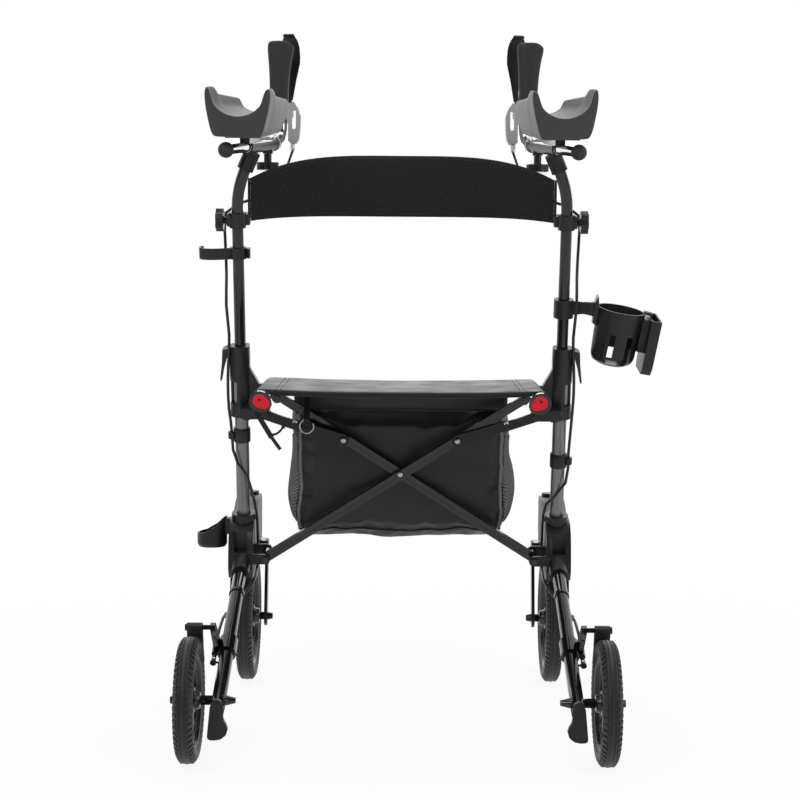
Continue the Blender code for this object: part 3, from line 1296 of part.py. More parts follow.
def cross_bar(name, way, rear, parent):
    """One bar of the cross brace: grooved lower tube, flat upper blade and its pins."""
    front = rear - BAR_THICKNESS
    low, root, top = bar_at(way, -HALF_BAR), bar_at(way, LOCK_ROOT), bar_at(way, UPPER_BAR)
    tube_end = bar_at(way, LOCK_ROOT + 0.012)
    half = BAR_HEIGHT / 2
    made = plate([capsule(low, tube_end, half, 4)], BAR_THICKNESS, brace_plane(-(front + rear) / 2))
    heading = Vector((tube_end[0] - low[0], tube_end[1] - low[1]))
    middle = ((low[0] + tube_end[0]) / 2, (low[1] + tube_end[1]) / 2)
    groove = brace_plane(-rear) @ Matrix.Translation((*middle, 0)) @ Matrix.Rotation(
        math.atan2(heading.y, heading.x), 4, "Z")
    cut(made, block((heading.length - 0.040, 0.0024, 0.0016), groove))
    blade_rear = rear - (0.0003 if way > 0 else 0.0020)
    blade = plate([capsule(bar_at(way, LOCK_ROOT - 0.020), top, half - 0.0002, 4)],
                  EXTENSION_THICKNESS, brace_plane(-blade_rear + EXTENSION_THICKNESS / 2))
    bolt = bar_at(way, BLADE_BOLT)
    join(made, blade, stepped(lean(bolt[0], -blade_rear, bolt[1]), -FORWARD,
                              [(-0.001, 0.0050), (0.0022, 0.0050)]))
    spacer, end = BAR_A_REAR + 0.0001, ARM_REAR + BAR_LAYER_GAP
    head = end + PIN_HEAD_THICKNESS
    ends = [(spacer, BOSS_RADIUS), (spacer, PIN_RADIUS), (end, PIN_RADIUS), (end, PIN_HEAD_RADIUS),
            (head, PIN_HEAD_RADIUS)]
    for place, eye in ((low, FAR_EYE), (top, RAIL_EYE)):
        far = eye - BAR_LAYER_GAP
        boss = eye + LINK_THICKNESS + BAR_LAYER_GAP
        join(made, stepped(lean(place[0], 0, place[1]), -FORWARD, [
            (far - PIN_HEAD_THICKNESS, PIN_HEAD_RADIUS), (far, PIN_HEAD_RADIUS), (far, PIN_RADIUS),
            (boss, PIN_RADIUS), (boss, BOSS_RADIUS), *ends]))
    join(made, stepped(lean(root[0], 0, root[1]), -FORWARD, [(front + 0.003, BOSS_RADIUS), *ends]))
    if way > 0:
        far = BAR_B_FRONT - BAR_LAYER_GAP
        join(made, stepped(lean(0, 0, CENTRE_U), -FORWARD, [
            (far - PIN_HEAD_THICKNESS, PIN_HEAD_RADIUS), (far, PIN_HEAD_RADIUS), (far, PIN_RADIUS),
            (rear - 0.002, PIN_RADIUS), (rear - 0.002, PIN_HEAD_RADIUS),
            (rear + PIN_HEAD_THICKNESS, PIN_HEAD_RADIUS)]))
    else:
        cut(made, rod(lean(0, -BAR_B_REAR - 0.01, CENTRE_U), lean(0, -BAR_B_FRONT + 0.01, CENTRE_U),
                      PIN_RADIUS + PIN_CLEARANCE, 12))
    return finish(made, name, dark_metal, parent)


def lock_arm(name, side, parent):
    """Inner half of the toggle that props the brace open, hung on a cross bar."""
    root = (side * LOCK_ROOT_X, LOCK_ROOT_U)
    elbow = (side * LOCK_ELBOW_X, LOCK_ELBOW_HEIGHT)
    hole = circle(PIN_RADIUS + PIN_CLEARANCE, 12, root)
    elbow_hole = circle(PIN_RADIUS + PIN_CLEARANCE, 12, elbow)
    made = plate([capsule(root, elbow, 0.0105, 5, LINK_RADIUS), hole, elbow_hole],
                 LINK_THICKNESS, brace_plane(-(ARM_FRONT + ARM_REAR) / 2))
    return finish(made, name, dark_metal, parent)


def lock_link(name, side, parent):
    """Outer half of the toggle, hung on the hub's lug."""
    elbow = (side * LOCK_ELBOW_X, LOCK_ELBOW_HEIGHT)
    pivot = (side * LOCK_PIVOT_X, LOCK_PIVOT_HEIGHT)
    hole = circle(PIN_RADIUS + PIN_CLEARANCE, 12, pivot)
    made = plate([capsule(elbow, pivot, LINK_RADIUS, 5), hole], LINK_THICKNESS,
                 brace_plane(-(LINK_FRONT + LINK_REAR) / 2))
    join(made, rod(lean(elbow[0], -LINK_REAR + 0.001, elbow[1]),
                   lean(elbow[0], -LINK_REAR - 0.0022, elbow[1]), 0.0056, 10))
    return finish(made, name, dark_metal, parent)


def teardrop(side, radius, scale=1.0, dx=0.0, dz=0.0):
    """Rail cap outline, its point to the lower inside."""
    cx, cz = side * (RAIL_X + 0.0005) + dx, RAIL_HEIGHT - 0.003 + dz
    out = []
    for i in range(18):
        turn = math.tau * i / 18
        reach = radius * scale * (1 + 0.27 * max(0.0, math.cos(turn)) ** 4)
        heading = turn + math.radians(-38)
        out.append((cx - side * reach * math.cos(heading), cz + reach * math.sin(heading)))
    return out


def seat_rail(name, side, parent):
    """Seat rail with its teardrop end cap and the two plates that hold the brace."""
    x = side * RAIL_X
    made = rod((x, RAIL_REAR - 0.002, RAIL_HEIGHT), (x, RAIL_FRONT, RAIL_HEIGHT), RAIL_RADIUS, 16)
    join(made, plate([teardrop(side, CAP_RADIUS)], CAP_THICKNESS,
                     back_plane(RAIL_REAR - CAP_THICKNESS / 2)))
    place = (side * RAIL_PIVOT_X, RAIL_PIVOT_U)
    for front, rear in ((ARM_FRONT, ARM_REAR), (RAIL_EYE, RAIL_EYE + LINK_THICKNESS)):
        f = -(front + rear) / 2
        u = (RAIL_HEIGHT - f * SIN) / COS
        eye = plate([capsule((x, u), place, 0.0080, 4, 0.0085)], rear - front, brace_plane(f))
        join(made, eye)
    cut(made, rod(lean(place[0], -0.06, place[1]), lean(place[0], -0.015, place[1]),
                  PIN_RADIUS + PIN_CLEARANCE, 12))
    return finish(made, name, gloss_metal, parent)


def reflector(name, side, parent):
    y = RAIL_REAR - CAP_THICKNESS - GAP - 0.00125
    made = plate([teardrop(side, CAP_RADIUS, 0.76)], 0.0025, back_plane(y))
    return finish(made, name, reflector_red, parent)


def fold_hook(parent):
    """Strap ring and two-pronged hook on the left rail that latches the folded frame."""
    plane = axes((-RAIL_X, HOOK_Y, RAIL_HEIGHT), AXIS_X, AXIS_Z)
    made = plate([circle(RAIL_RADIUS + 0.0035, 16), circle(RAIL_RADIUS + RUNNING_GAP, 16)], 0.0070, plane)
    reach = RAIL_RADIUS + 0.0012
    arm = strip([(-0.0105, -reach + 0.0002), (-0.0020, -reach - 0.0173), (0.0125, -reach - 0.0413),
                 (0.0170, -reach - 0.0488)], 0.0075)
    fork = smooth_path([(0.0125, -reach - 0.0418, 0), (0.0180, -reach - 0.0443, 0),
                        (0.0240, -reach - 0.0433, 0), (0.0300, -reach - 0.0388, 0),
                        (0.0340, -reach - 0.0333, 0)], 8)
    tip = -RAIL_X + 0.0350
    drop = RAIL_HEIGHT - reach - 0.0323
    join(
        made,
        plate([arm], 0.0050, plane),
        plate([strip([(0.0150, -reach - 0.0458), (0.0305, -reach - 0.0673)], 0.0050)], 0.0048, plane),
        plate([strip([(p.x, p.y) for p in fork], 0.0034)], 0.0046, plane),
        rod((tip, HOOK_Y - 0.0023, drop), (tip, HOOK_Y + 0.0023, drop), 0.0030, 10),
    )
    return finish(made, "fold_hook", nylon, parent)


def seat_sling(parent):
    """Padded sling stretched between the rails and wrapped over their outsides."""
    rings = []
    skin, reach = SEAT_SKIN, SEAT_REACH
    for y, lift, edge in ((SEAT_REAR, -0.0012, 0.72), (SEAT_REAR + 0.012, 0.0, 1.0),
                          ((SEAT_REAR + SEAT_FRONT) / 2, -0.0015, 1.0),
                          (SEAT_FRONT - 0.012, 0.0, 1.0), (SEAT_FRONT, -0.0012, 0.72)):
        top, bottom = [], []
        for k in range(5):
            turn = math.radians(-40 + 130 * k / 4)
            out = (RAIL_X + math.cos(turn) * (reach + skin), RAIL_HEIGHT + math.sin(turn) * (reach + skin))
            inn = (RAIL_X + math.cos(turn) * reach, RAIL_HEIGHT + math.sin(turn) * reach)
            top.append(out)
            bottom.append(inn)
        for k in range(1, 5):
            t = k / 4
            x = RAIL_X * (1 - t)
            sag = SEAT_SAG * (1 - (1 - t) ** 2.2)
            pad = blend(skin, SEAT_THICKNESS * edge, min(1, t * 2.5))
            surface = RAIL_HEIGHT + reach + skin - sag + lift * min(1, t * 2)
            top.append((x, surface))
            bottom.append((x, surface - pad))
        right = top
        left = [(-a, b) for a, b in reversed(top[:-1])]
        under_left = [(-a, b) for a, b in bottom]
        under_right = [(a, b) for a, b in reversed(bottom[:-1])]
        ring = right + left + under_left + under_right
        rings.append([(a, y, b) for a, b in ring])
    return finish(loft(rings), "seat_sling", seat_vinyl, parent)


def bag(parent):
    """Closed storage bag hung under the seat, with slightly bulging sides."""
    rings = []
    rows = ((0.0, 0.84), (0.03, 0.94), (0.15, 1.0), (0.45, 1.015), (0.8, 1.0), (0.97, 0.985), (1.0, 0.96))
    for t, size in rows:
        z = blend(BAG_BOTTOM, BAG_TOP, t)
        rear = blend(BAG_REAR_BOTTOM, BAG_REAR_TOP, t)
        depth = BAG_DEPTH / 2 * size
        half = BAG_WIDTH / 2 * size
        ring = []
        for i in range(24):
            c, s = math.cos(math.tau * i / 24), math.sin(math.tau * i / 24)
            a = math.copysign(abs(c) ** 0.35, c) * half
            b = math.copysign(abs(s) ** 0.45, s) * depth
            ring.append((a, rear + BAG_DEPTH / 2 + b, z))
        rings.append(ring)
    made = loft(rings)
    flap = [(BAG_REAR_TOP + 0.0075, BAG_TOP - 0.008), (SEAT_FRONT - 0.0055, SEAT_UNDERSIDE - GAP - BAG_FLAP_SKIN / 4)]
    join(made, plate([strip(flap, BAG_FLAP_SKIN)], BAG_FLAP_WIDTH, side_plane(0)))
    return finish(made, "bag", mesh_fabric, parent)


def brake_cable(name, side, parent):
    """Cable from the lever housing down the post and rear leg to the brake."""
    def away(x, f, u):
        return lean(side * x, f, u)
    route = [
        Vector((side * FERRULE_X, BAR_END_Y - 0.003, 0.9400)),
        Vector((side * FERRULE_X, BAR_END_Y - 0.0035, 0.932)),
        Vector((side * 0.1915, 0.434, 0.912)), Vector((side * 0.2000, 0.412, 0.885)),
        Vector((side * 0.2250, 0.380, 0.858)), away(0.2620, 0.045, 0.862),
        away(0.2920, 0.0255, 0.845), away(0.2940, 0.0245, 0.815), away(0.2925, 0.0145, 0.785),
        away(0.2920, 0.0040, 0.752), away(0.2935, -0.0160, 0.722), away(0.2955, -0.0235, 0.700),
        away(0.2955, -0.0235, 0.672), away(0.2945, -0.0175, 0.640), away(0.2940, -0.0168, 0.600),
        away(0.2920, -0.0160, 0.550), away(0.2895, -0.0120, 0.505),
    ]
    strap = strap_cable(side)
    u = STRAP_LEFT if side < 0 else STRAP_RIGHT
    route += [strap + UPWARD * 0.016, strap + UPWARD * 0.006, strap - UPWARD * 0.006,
              strap - UPWARD * 0.016]
    route += [
        away(0.2800, -0.0165, u - 0.045), away(0.2640, -0.0190, u - 0.060),
        away(0.2490, -0.0140, 0.348), away(0.2470, 0.0000, 0.320), away(0.2470, 0.0090, 0.285),
        away(0.2470, 0.0090, 0.260), away(0.2468, 0.0050, 0.2415), away(0.2466, -0.0100, 0.2320),
        away(0.2465, -0.0400, 0.2300),
    ]
    route += [leg_point(side, 0.372, -0.0160, -0.0235),
              leg_point(side, 0.342, -0.0210, -0.0130),
              leg_point(side, 0.3100, -0.0215, 0.0000), leg_point(side, 0.2880, -0.0205, 0.0050),
              leg_point(side, 0.250, -0.0100, 0.0155), leg_point(side, 0.210, -0.0020, 0.0175),
              leg_point(side, 0.180, 0.0, SPRING_OUT),
              leg_point(side, CABLE_STOP + GAP, 0.0, SPRING_OUT)]
    made = pipe(smooth_path(route, 44), CABLE_RADIUS, 1)
    return finish(made, name, cable_black, parent)


def clear_scene():
    for old in list(bpy.data.objects):
        bpy.data.objects.remove(old)
    scene = bpy.context.scene.collection
    scene.children.link(parts)
    scene.children.link(cutters)


def build_side(side_name, side, frame, post):
    """Everything that is the same on both sides, hung on its own joints."""
    def named(kind):
        return f"{kind}_{side_name}"
    lower_tube(named("lower_tube"), side, frame)
    lower_casting(named("lower_casting"), side, frame)
    rear_leg(named("rear_leg"), side, frame)
    foot_pedal(named("foot_pedal"), side, frame)
    hub_casting(named("hub_casting"), side, frame)
    rear = joint_empty(named("rear_axle"), (side * REAR_TRACK / 2, 0, REAR_WHEEL_RADIUS), frame)
    wheel(named("rear_wheel"), side * REAR_TRACK / 2, 0, REAR_WHEEL_RADIUS, REAR_HUB_WIDTH, rear)
    stem_y = WHEELBASE + CASTER_TRAIL
    swivel = joint_empty(named("caster_swivel"), (side * POST_X, stem_y, CASTER_HOUSING_BOTTOM), frame)
    front_fork(named("front_fork"), side, swivel)
    axle = joint_empty(named("front_axle"), (side * FRONT_TRACK / 2, WHEELBASE, FRONT_WHEEL_RADIUS),
                       swivel)
    wheel(named("front_wheel"), side * FRONT_TRACK / 2, WHEELBASE, FRONT_WHEEL_RADIUS,
          FRONT_HUB_WIDTH, axle)
    shoe = joint_empty(named("brake_shoe_pin"),
                       (side * REAR_TRACK / 2, BRAKE_PIVOT_Y, BRAKE_PIVOT_Z), frame)
    brake_shoe(named("brake_shoe"), side, shoe)
    flap = joint_empty(named("height_lever_pin"), lean(side * LEVER_PIVOT_X, 0, LEVER_PIVOT_U), frame)
    height_lever(named("height_lever"), side, flap)
    handle_post(named("handle_post"), side, post)
    arm_bracket(named("arm_bracket"), side, post)
    arm_pad(named("arm_pad"), side, post)
    backrest_bracket(named("backrest_bracket"), side, post)
    brake_cable(named("brake_cable"), side, post)
    clamp = lean(0, 0, BACKREST_CLAMP)
    back = joint_empty(named("backrest_knob_axis"), (side * KNOB_BOSS_X, clamp.y, clamp.z), post)
    star_knob(named("backrest_knob"), Vector((side * 0.2990, clamp.y, clamp.z)), AXIS_X * -side,
              0.2990 - KNOB_BOSS_X - GAP, 0.0180, black, back)
    slide = joint_empty(named("forearm_bar"), bar_point(side, 0), post)
    handle_bar(named("handle_bar"), side, slide)
    hand_grip(named("hand_grip"), side, slide)
    lever_housing(named("lever_housing"), side, slide)
    squeeze = joint_empty(named("brake_lever_pin"), (side * LEVER_X, LEVER_HINGE_Y, LEVER_HINGE_Z),
                          slide)
    brake_lever(named("brake_lever"), side, squeeze)
    knob = bar_point(side, KNOB_ALONG, KNOB_DROP)
    turn = joint_empty(named("bar_knob_axis"), knob, post)
    head = knob - AXIS_Z * 0.0205
    star_knob(named("bar_knob"), head, AXIS_Z, 0.0205 - GAP, 0.0235, black, turn)


def centre_on_floor(root):
    """Puts the origin on the floor, under the middle of all that hangs on root."""
    bpy.context.view_layer.update()
    graph = bpy.context.evaluated_depsgraph_get()
    corners = [corner for piece in parts.objects if piece.type == "MESH"
               for corner in piece.evaluated_get(graph).bound_box]
    x, y = ((min(c[i] for c in corners) + max(c[i] for c in corners)) / 2 for i in (0, 1))
    for moved in (root, *cutters.objects):
        moved.location -= Vector((x, y, 0))
    bpy.context.view_layer.update()


def build():
    clear_scene()
    left_frame = joint_empty("left_frame", (0, 0, 0))
    low_left, low_right = bar_at(1, -HALF_BAR), bar_at(-1, -HALF_BAR)
    brace_f = -(BAR_A_REAR + BAR_A_FRONT) / 2
    fold = joint_empty("fold_pivot", lean(low_left[0], brace_f, low_left[1]), left_frame)
    centre = joint_empty("brace_centre", lean(0, brace_f, CENTRE_U), fold)
    right_frame = joint_empty("right_pivot", lean(low_right[0], brace_f, low_right[1]), centre)
    for (side_name, side), frame in zip(SIDES, (left_frame, right_frame)):
        post = joint_empty(f"post_slide_{side_name}", lean(side * POST_X, 0, TUBE_TOP), frame)
        build_side(side_name, side, frame, post)
        if side < 0:
            cane_clip(post)
            backrest_strap(post)
            cane_cup(frame)
        else:
            cup_clamp(post)
            hinge = joint_empty("cup_hinge", (CUP_PIVOT_X, CUP_RIM_Y - 0.0047, CUP_PIVOT_Z), post)
            cup_holder(hinge)
    cross_bar("cross_bar_a", 1, BAR_A_REAR, fold)
    cross_bar("cross_bar_b", -1, BAR_B_REAR, centre)
    for side_name, side, bar, frame in (("left", -1, centre, left_frame), ("right", 1, fold, right_frame)):
        rail = joint_empty(f"rail_pivot_{side_name}", lean(side * RAIL_PIVOT_X, brace_f, RAIL_PIVOT_U),
                           bar)
        seat_rail(f"seat_rail_{side_name}", side, rail)
        reflector(f"reflector_{side_name}", side, rail)
        root = joint_empty(f"lock_root_{side_name}", lean(side * LOCK_ROOT_X, brace_f, LOCK_ROOT_U), bar)
        lock_arm(f"lock_arm_{side_name}", side, root)
        lug = joint_empty(f"lock_lug_{side_name}",
                          lean(side * LOCK_PIVOT_X, brace_f, LOCK_PIVOT_HEIGHT), frame)
        lock_link(f"lock_link_{side_name}", side, lug)
        if side < 0:
            hook = joint_empty("hook_ring", (side * RAIL_X, HOOK_Y, RAIL_HEIGHT), rail)
            fold_hook(hook)
        else:
            seat_sling(rail)
            bag(rail)
    centre_on_floor(left_frame)


build()
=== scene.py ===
"""Upright folding rollator: fabrics, finishes and fine surfaces around its solid parts."""

import json
import math

import bmesh
import bpy
from mathutils import Matrix, Vector, noise
from mathutils.bvhtree import BVHTree


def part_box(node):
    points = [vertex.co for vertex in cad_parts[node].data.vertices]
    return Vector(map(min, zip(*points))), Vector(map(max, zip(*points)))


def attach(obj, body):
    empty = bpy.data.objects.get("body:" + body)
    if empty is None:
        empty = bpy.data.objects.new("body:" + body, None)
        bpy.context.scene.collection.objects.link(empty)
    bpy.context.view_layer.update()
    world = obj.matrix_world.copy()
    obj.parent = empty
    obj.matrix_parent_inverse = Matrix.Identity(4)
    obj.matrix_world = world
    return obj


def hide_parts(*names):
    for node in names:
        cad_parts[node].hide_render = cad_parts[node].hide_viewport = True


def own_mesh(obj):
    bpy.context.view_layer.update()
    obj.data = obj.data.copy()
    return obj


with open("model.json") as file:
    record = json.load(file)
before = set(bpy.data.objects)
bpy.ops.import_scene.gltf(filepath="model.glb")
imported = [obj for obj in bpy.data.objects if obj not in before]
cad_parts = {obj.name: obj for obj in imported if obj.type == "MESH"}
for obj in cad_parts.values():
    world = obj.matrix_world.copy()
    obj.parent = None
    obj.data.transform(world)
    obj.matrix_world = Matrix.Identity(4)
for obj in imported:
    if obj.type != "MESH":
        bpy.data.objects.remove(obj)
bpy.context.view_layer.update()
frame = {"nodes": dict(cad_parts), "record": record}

bl_info = {
    "name": "Upright rollator",
    "version": (1, 0, 0),
    "blender": (4, 5, 0),
    "location": "View3D > Sidebar > Rollator",
    "description": "Builds the finished surfaces of an upright folding rollator",
    "category": "Object",
}

SIDES = (("left", -1), ("right", 1))


def middle_of(node):
    low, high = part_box(node)
    return (Vector(low) + Vector(high)) / 2


# Every place below is measured from the floor midway between the rear wheels
ORIGIN = (middle_of("rear_wheel_left") + middle_of("rear_wheel_right")) / 2
ORIGIN.z = 0
AXIS_X = Vector((1, 0, 0))
AXIS_Y = Vector((0, 1, 0))
AXIS_Z = Vector((0, 0, 1))

# The posts lean back about the rear of the lower casting
LEAN = math.radians(12.2)
COS, SIN = math.cos(LEAN), math.sin(LEAN)
LEAN_FOOT_Y = 0.4771
UPWARD = Vector((0, -SIN, COS))
POST_X = 0.270
POST_RADIUS = 0.0095


def lean(x, f, u):
    """Place of a point given across, forward of and up along the leaning post."""
    return Vector((x, LEAN_FOOT_Y - u * SIN + f * COS, u * COS + f * SIN))


def mix(a, b, t):
    return a + (b - a) * t


def power(value, exponent):
    """Signed power, which squares off the sides of a round section."""
    return math.copysign(abs(value) ** exponent, value)


class RollatorWheels(bpy.types.PropertyGroup):
    rear_radius: bpy.props.FloatProperty(
        name="Rear radius", description="Radius of a rear tyre", default=0.095, unit="LENGTH")
    front_radius: bpy.props.FloatProperty(
        name="Front radius", description="Radius of a front tyre", default=0.1136, unit="LENGTH")
    width: bpy.props.FloatProperty(
        name="Tyre width", description="Width of a tyre", default=0.030, unit="LENGTH")
    block_pitch: bpy.props.FloatProperty(
        name="Block pitch", description="Distance between tread blocks", default=0.0105, unit="LENGTH")
    spokes: bpy.props.IntProperty(name="Spokes", description="Spokes in a wheel", default=5)


class RollatorSoft(bpy.types.PropertyGroup):
    stitch: bpy.props.FloatProperty(
        name="Stitch", description="Length of one stitch", default=0.0042, unit="LENGTH")
    seat_sag: bpy.props.FloatProperty(
        name="Seat sag", description="Dip of the seat between its rails", default=0.004, unit="LENGTH")
    bag_bulge: bpy.props.FloatProperty(
        name="Bag bulge", description="Furthest that the bag's cloth may swell", default=0.007,
        unit="LENGTH")


class RollatorColours(bpy.types.PropertyGroup):
    plastic: bpy.props.FloatVectorProperty(
        name="Plastic", description="Moulded black plastic", default=(0.011, 0.011, 0.012),
        size=3, subtype="COLOR")
    tube: bpy.props.FloatVectorProperty(
        name="Tube", description="Anodised lower tubes", default=(0.17, 0.17, 0.175),
        size=3, subtype="COLOR")
    foam: bpy.props.FloatVectorProperty(
        name="Foam", description="Forearm pads", default=(0.030, 0.030, 0.032), size=3,
        subtype="COLOR")
    vinyl: bpy.props.FloatVectorProperty(
        name="Vinyl", description="Seat cover", default=(0.022, 0.022, 0.023), size=3,
        subtype="COLOR")
    lens: bpy.props.FloatVectorProperty(
        name="Lens", description="Rear reflectors", default=(0.52, 0.004, 0.014), size=3,
        subtype="COLOR")


# Shader groups that several finishes share


def filled(node, **values):
    """Gives sockets their values; an underscore in a key stands for a space in the socket's name."""
    for key, value in values.items():
        node.inputs[key.replace("_", " ")].default_value = value
    return node


def maths(tree, operation, *values, clamp=False):
    """The result of a Math node whose values are numbers or the sockets that feed them."""
    node = tree.nodes.new("ShaderNodeMath")
    node.operation = operation
    node.use_clamp = clamp
    for socket, value in zip(node.inputs, values):
        if isinstance(value, bpy.types.NodeSocket):
            tree.links.new(value, socket)
        else:
            socket.default_value = value
    return node.outputs[0]


def ranged(tree, value, low, high, least=0.0, most=1.0, blend="LINEAR"):
    """The result of a Map Range node that takes low to least and high to most."""
    node = tree.nodes.new("ShaderNodeMapRange")
    node.interpolation_type = blend
    filled(node, From_Min=low, From_Max=high, To_Min=least, To_Max=most)
    tree.links.new(value, node.inputs["Value"])
    return node.outputs["Result"]


def open_group(kind, name, given, made):
    """A node group with only its sockets: the tree, its group input's and its group output's."""
    tree = bpy.data.node_groups.new(name, kind)
    for label, socket_type, value in given:
        socket = tree.interface.new_socket(label, in_out="INPUT", socket_type=socket_type)
        if value is not None:
            socket.default_value = value
    for label, socket_type in made:
        tree.interface.new_socket(label, in_out="OUTPUT", socket_type=socket_type)
    return tree, tree.nodes.new("NodeGroupInput").outputs, tree.nodes.new("NodeGroupOutput").inputs


def surface_group():
    """Soft mottling of colour and gloss with a fine moulded or sprayed grain."""
    colour, number = "NodeSocketColor", "NodeSocketFloat"
    tree, given, out = open_group(
        "ShaderNodeTree", "surface_grain",
        (("Colour", colour, (0.02, 0.02, 0.02, 1)), ("Mottle", number, 0.15),
         ("Roughness", number, 0.4), ("Grain scale", number, 900.0)),
        (("Colour", colour), ("Roughness", number), ("Height", number)))
    n, link = tree.nodes, tree.links.new
    place = n.new("ShaderNodeTexCoord")
    cloud = filled(n.new("ShaderNodeTexNoise"), Scale=22.0, Detail=5.0)
    grain = filled(n.new("ShaderNodeTexNoise"), Detail=2.0)
    for texture in (cloud, grain):
        link(place.outputs["Object"], texture.inputs["Vector"])
    link(given["Grain scale"], grain.inputs["Scale"])
    share = maths(tree, "MULTIPLY", maths(tree, "SUBTRACT", cloud.outputs["Fac"], 0.5),
                  given["Mottle"])
    tint = n.new("ShaderNodeVectorMath")
    tint.operation = "SCALE"
    link(given["Colour"], tint.inputs[0])
    link(maths(tree, "MULTIPLY_ADD", share, 4.0, 1.0), tint.inputs["Scale"])
    link(tint.outputs[0], out["Colour"])
    link(maths(tree, "ADD", given["Roughness"], share, clamp=True), out["Roughness"])
    link(grain.outputs["Fac"], out["Height"])
    return tree


def mesh_group():
    """Diamond openings of a knitted spacer mesh, from two crossed waves."""
    number = "NodeSocketFloat"
    tree, given, out = open_group("ShaderNodeTree", "diamond_mesh", (("Pitch", number, 0.004),),
                                  (("Height", number), ("Hole", number)))
    split = tree.nodes.new("ShaderNodeSeparateXYZ")
    tree.links.new(tree.nodes.new("ShaderNodeUVMap").outputs[0], split.inputs[0])
    waves = []
    for sign in ("ADD", "SUBTRACT"):
        way = maths(tree, sign, split.outputs["X"], split.outputs["Y"])
        turns = maths(tree, "DIVIDE", way, given["Pitch"])
        waves.append(maths(tree, "COSINE", maths(tree, "MULTIPLY", turns, math.tau)))
    height = ranged(tree, maths(tree, "MAXIMUM", *waves), -0.3, 0.9)
    tree.links.new(height, out["Height"])
    tree.links.new(maths(tree, "SUBTRACT", 1.0, height), out["Hole"])
    return tree


def repeat_tree():
    """Places one object on every point, turned as the point's attribute says, as real faces."""
    shape = "NodeSocketGeometry"
    tree, given, out = open_group(
        "GeometryNodeTree", "repeat_on_points",
        (("Geometry", shape, None), ("Piece", "NodeSocketObject", None),
         ("Finish", "NodeSocketMaterial", None)),
        (("Geometry", shape),))
    n, link = tree.nodes, tree.links.new
    piece = n.new("GeometryNodeObjectInfo")
    turn = n.new("GeometryNodeInputNamedAttribute")
    turn.data_type = "FLOAT_VECTOR"
    turn.inputs["Name"].default_value = "turn"
    spread = n.new("GeometryNodeInstanceOnPoints")
    real = n.new("GeometryNodeRealizeInstances")
    paint = n.new("GeometryNodeSetMaterial")
    link(given["Geometry"], spread.inputs["Points"])
    link(given["Piece"], piece.inputs["Object"])
    link(piece.outputs["Geometry"], spread.inputs["Instance"])
    link(turn.outputs["Attribute"], spread.inputs["Rotation"])
    link(spread.outputs["Instances"], real.inputs["Geometry"])
    link(real.outputs["Geometry"], paint.inputs["Geometry"])
    link(given["Finish"], paint.inputs["Material"])
    link(paint.outputs["Geometry"], out["Geometry"])
    return tree


GROUP_MAKERS = {
    "surface_grain": surface_group, "diamond_mesh": mesh_group, "repeat_on_points": repeat_tree,
}
GROUPS = {}


def shared(name):
    """A node group, built the first time that something asks for it."""
    if name not in GROUPS:
        GROUPS[name] = GROUP_MAKERS[name]()
    return GROUPS[name]


def finish_of(name, colour, roughness, metallic=0.0, grain=900.0, bump=0.00004, mottle=0.12,
              coat=0.0, sheen=0.0, specular=0.5):
    """A Principled finish with the shared mottling and grain."""
    material = bpy.data.materials.new(name)
    material.use_nodes = True
    tree = material.node_tree
    link = tree.links.new
    shader = filled(tree.nodes["Principled BSDF"], Metallic=metallic, Coat_Weight=coat,
                    Coat_Roughness=0.08, Sheen_Weight=sheen, Sheen_Roughness=0.4,
                    Specular_IOR_Level=specular)
    grained = tree.nodes.new("ShaderNodeGroup")
    grained.node_tree = shared("surface_grain")
    grained.name = "grain"
    filled(grained, Colour=(*colour, 1), Mottle=mottle, Roughness=roughness, Grain_scale=grain)
    relief = filled(tree.nodes.new("ShaderNodeBump"), Strength=1.0, Distance=bump)
    relief.name = "relief"
    link(grained.outputs["Colour"], shader.inputs["Base Color"])
    link(grained.outputs["Roughness"], shader.inputs["Roughness"])
    link(grained.outputs["Height"], relief.inputs["Height"])
    link(relief.outputs["Normal"], shader.inputs["Normal"])
    return material


def with_mesh(material, pitch, depth, hole_shade_and_backing):
    """Adds the diamond mesh to a cloth: relief from its height, and a darker colour painted in its
    holes, which is painted shade in the padded band and the dark bag cloth seen through a pocket.
    """
    tree = material.node_tree
    n, link = tree.nodes, tree.links.new
    shader = n["Principled BSDF"]
    mesh = n.new("ShaderNodeGroup")
    mesh.node_tree = shared("diamond_mesh")
    filled(mesh, Pitch=pitch)
    second = filled(n.new("ShaderNodeBump"), Distance=depth)
    link(mesh.outputs["Height"], second.inputs["Height"])
    link(n["relief"].outputs["Normal"], second.inputs["Normal"])
    link(second.outputs["Normal"], shader.inputs["Normal"])
    # Paints the holes in the given colour: painted shade in the padded band, the dark bag cloth behind
    # a pocket.
    shade = n.new("ShaderNodeMix")
    shade.data_type = "RGBA"
    shade.inputs["B"].default_value = (*hole_shade_and_backing, 1)
    link(mesh.outputs["Hole"], shade.inputs["Factor"])
    link(n["grain"].outputs["Colour"], shade.inputs["A"])
    link(shade.outputs["Result"], shader.inputs["Base Color"])
    return material


def lens_finish(name, colour):
    """Red lens over a honeycomb of small prisms."""
    material = finish_of(name, colour, 0.22, grain=300.0, coat=0.25, specular=0.2, bump=0.0004)
    tree = material.node_tree
    cells = filled(tree.nodes.new("ShaderNodeTexVoronoi"), Scale=420.0, Randomness=0.0)
    place = tree.nodes.new("ShaderNodeTexCoord")
    tree.links.new(place.outputs["Object"], cells.inputs["Vector"])
    tree.links.new(cells.outputs["Distance"], tree.nodes["relief"].inputs["Height"])
    return material


FINISHES = {}


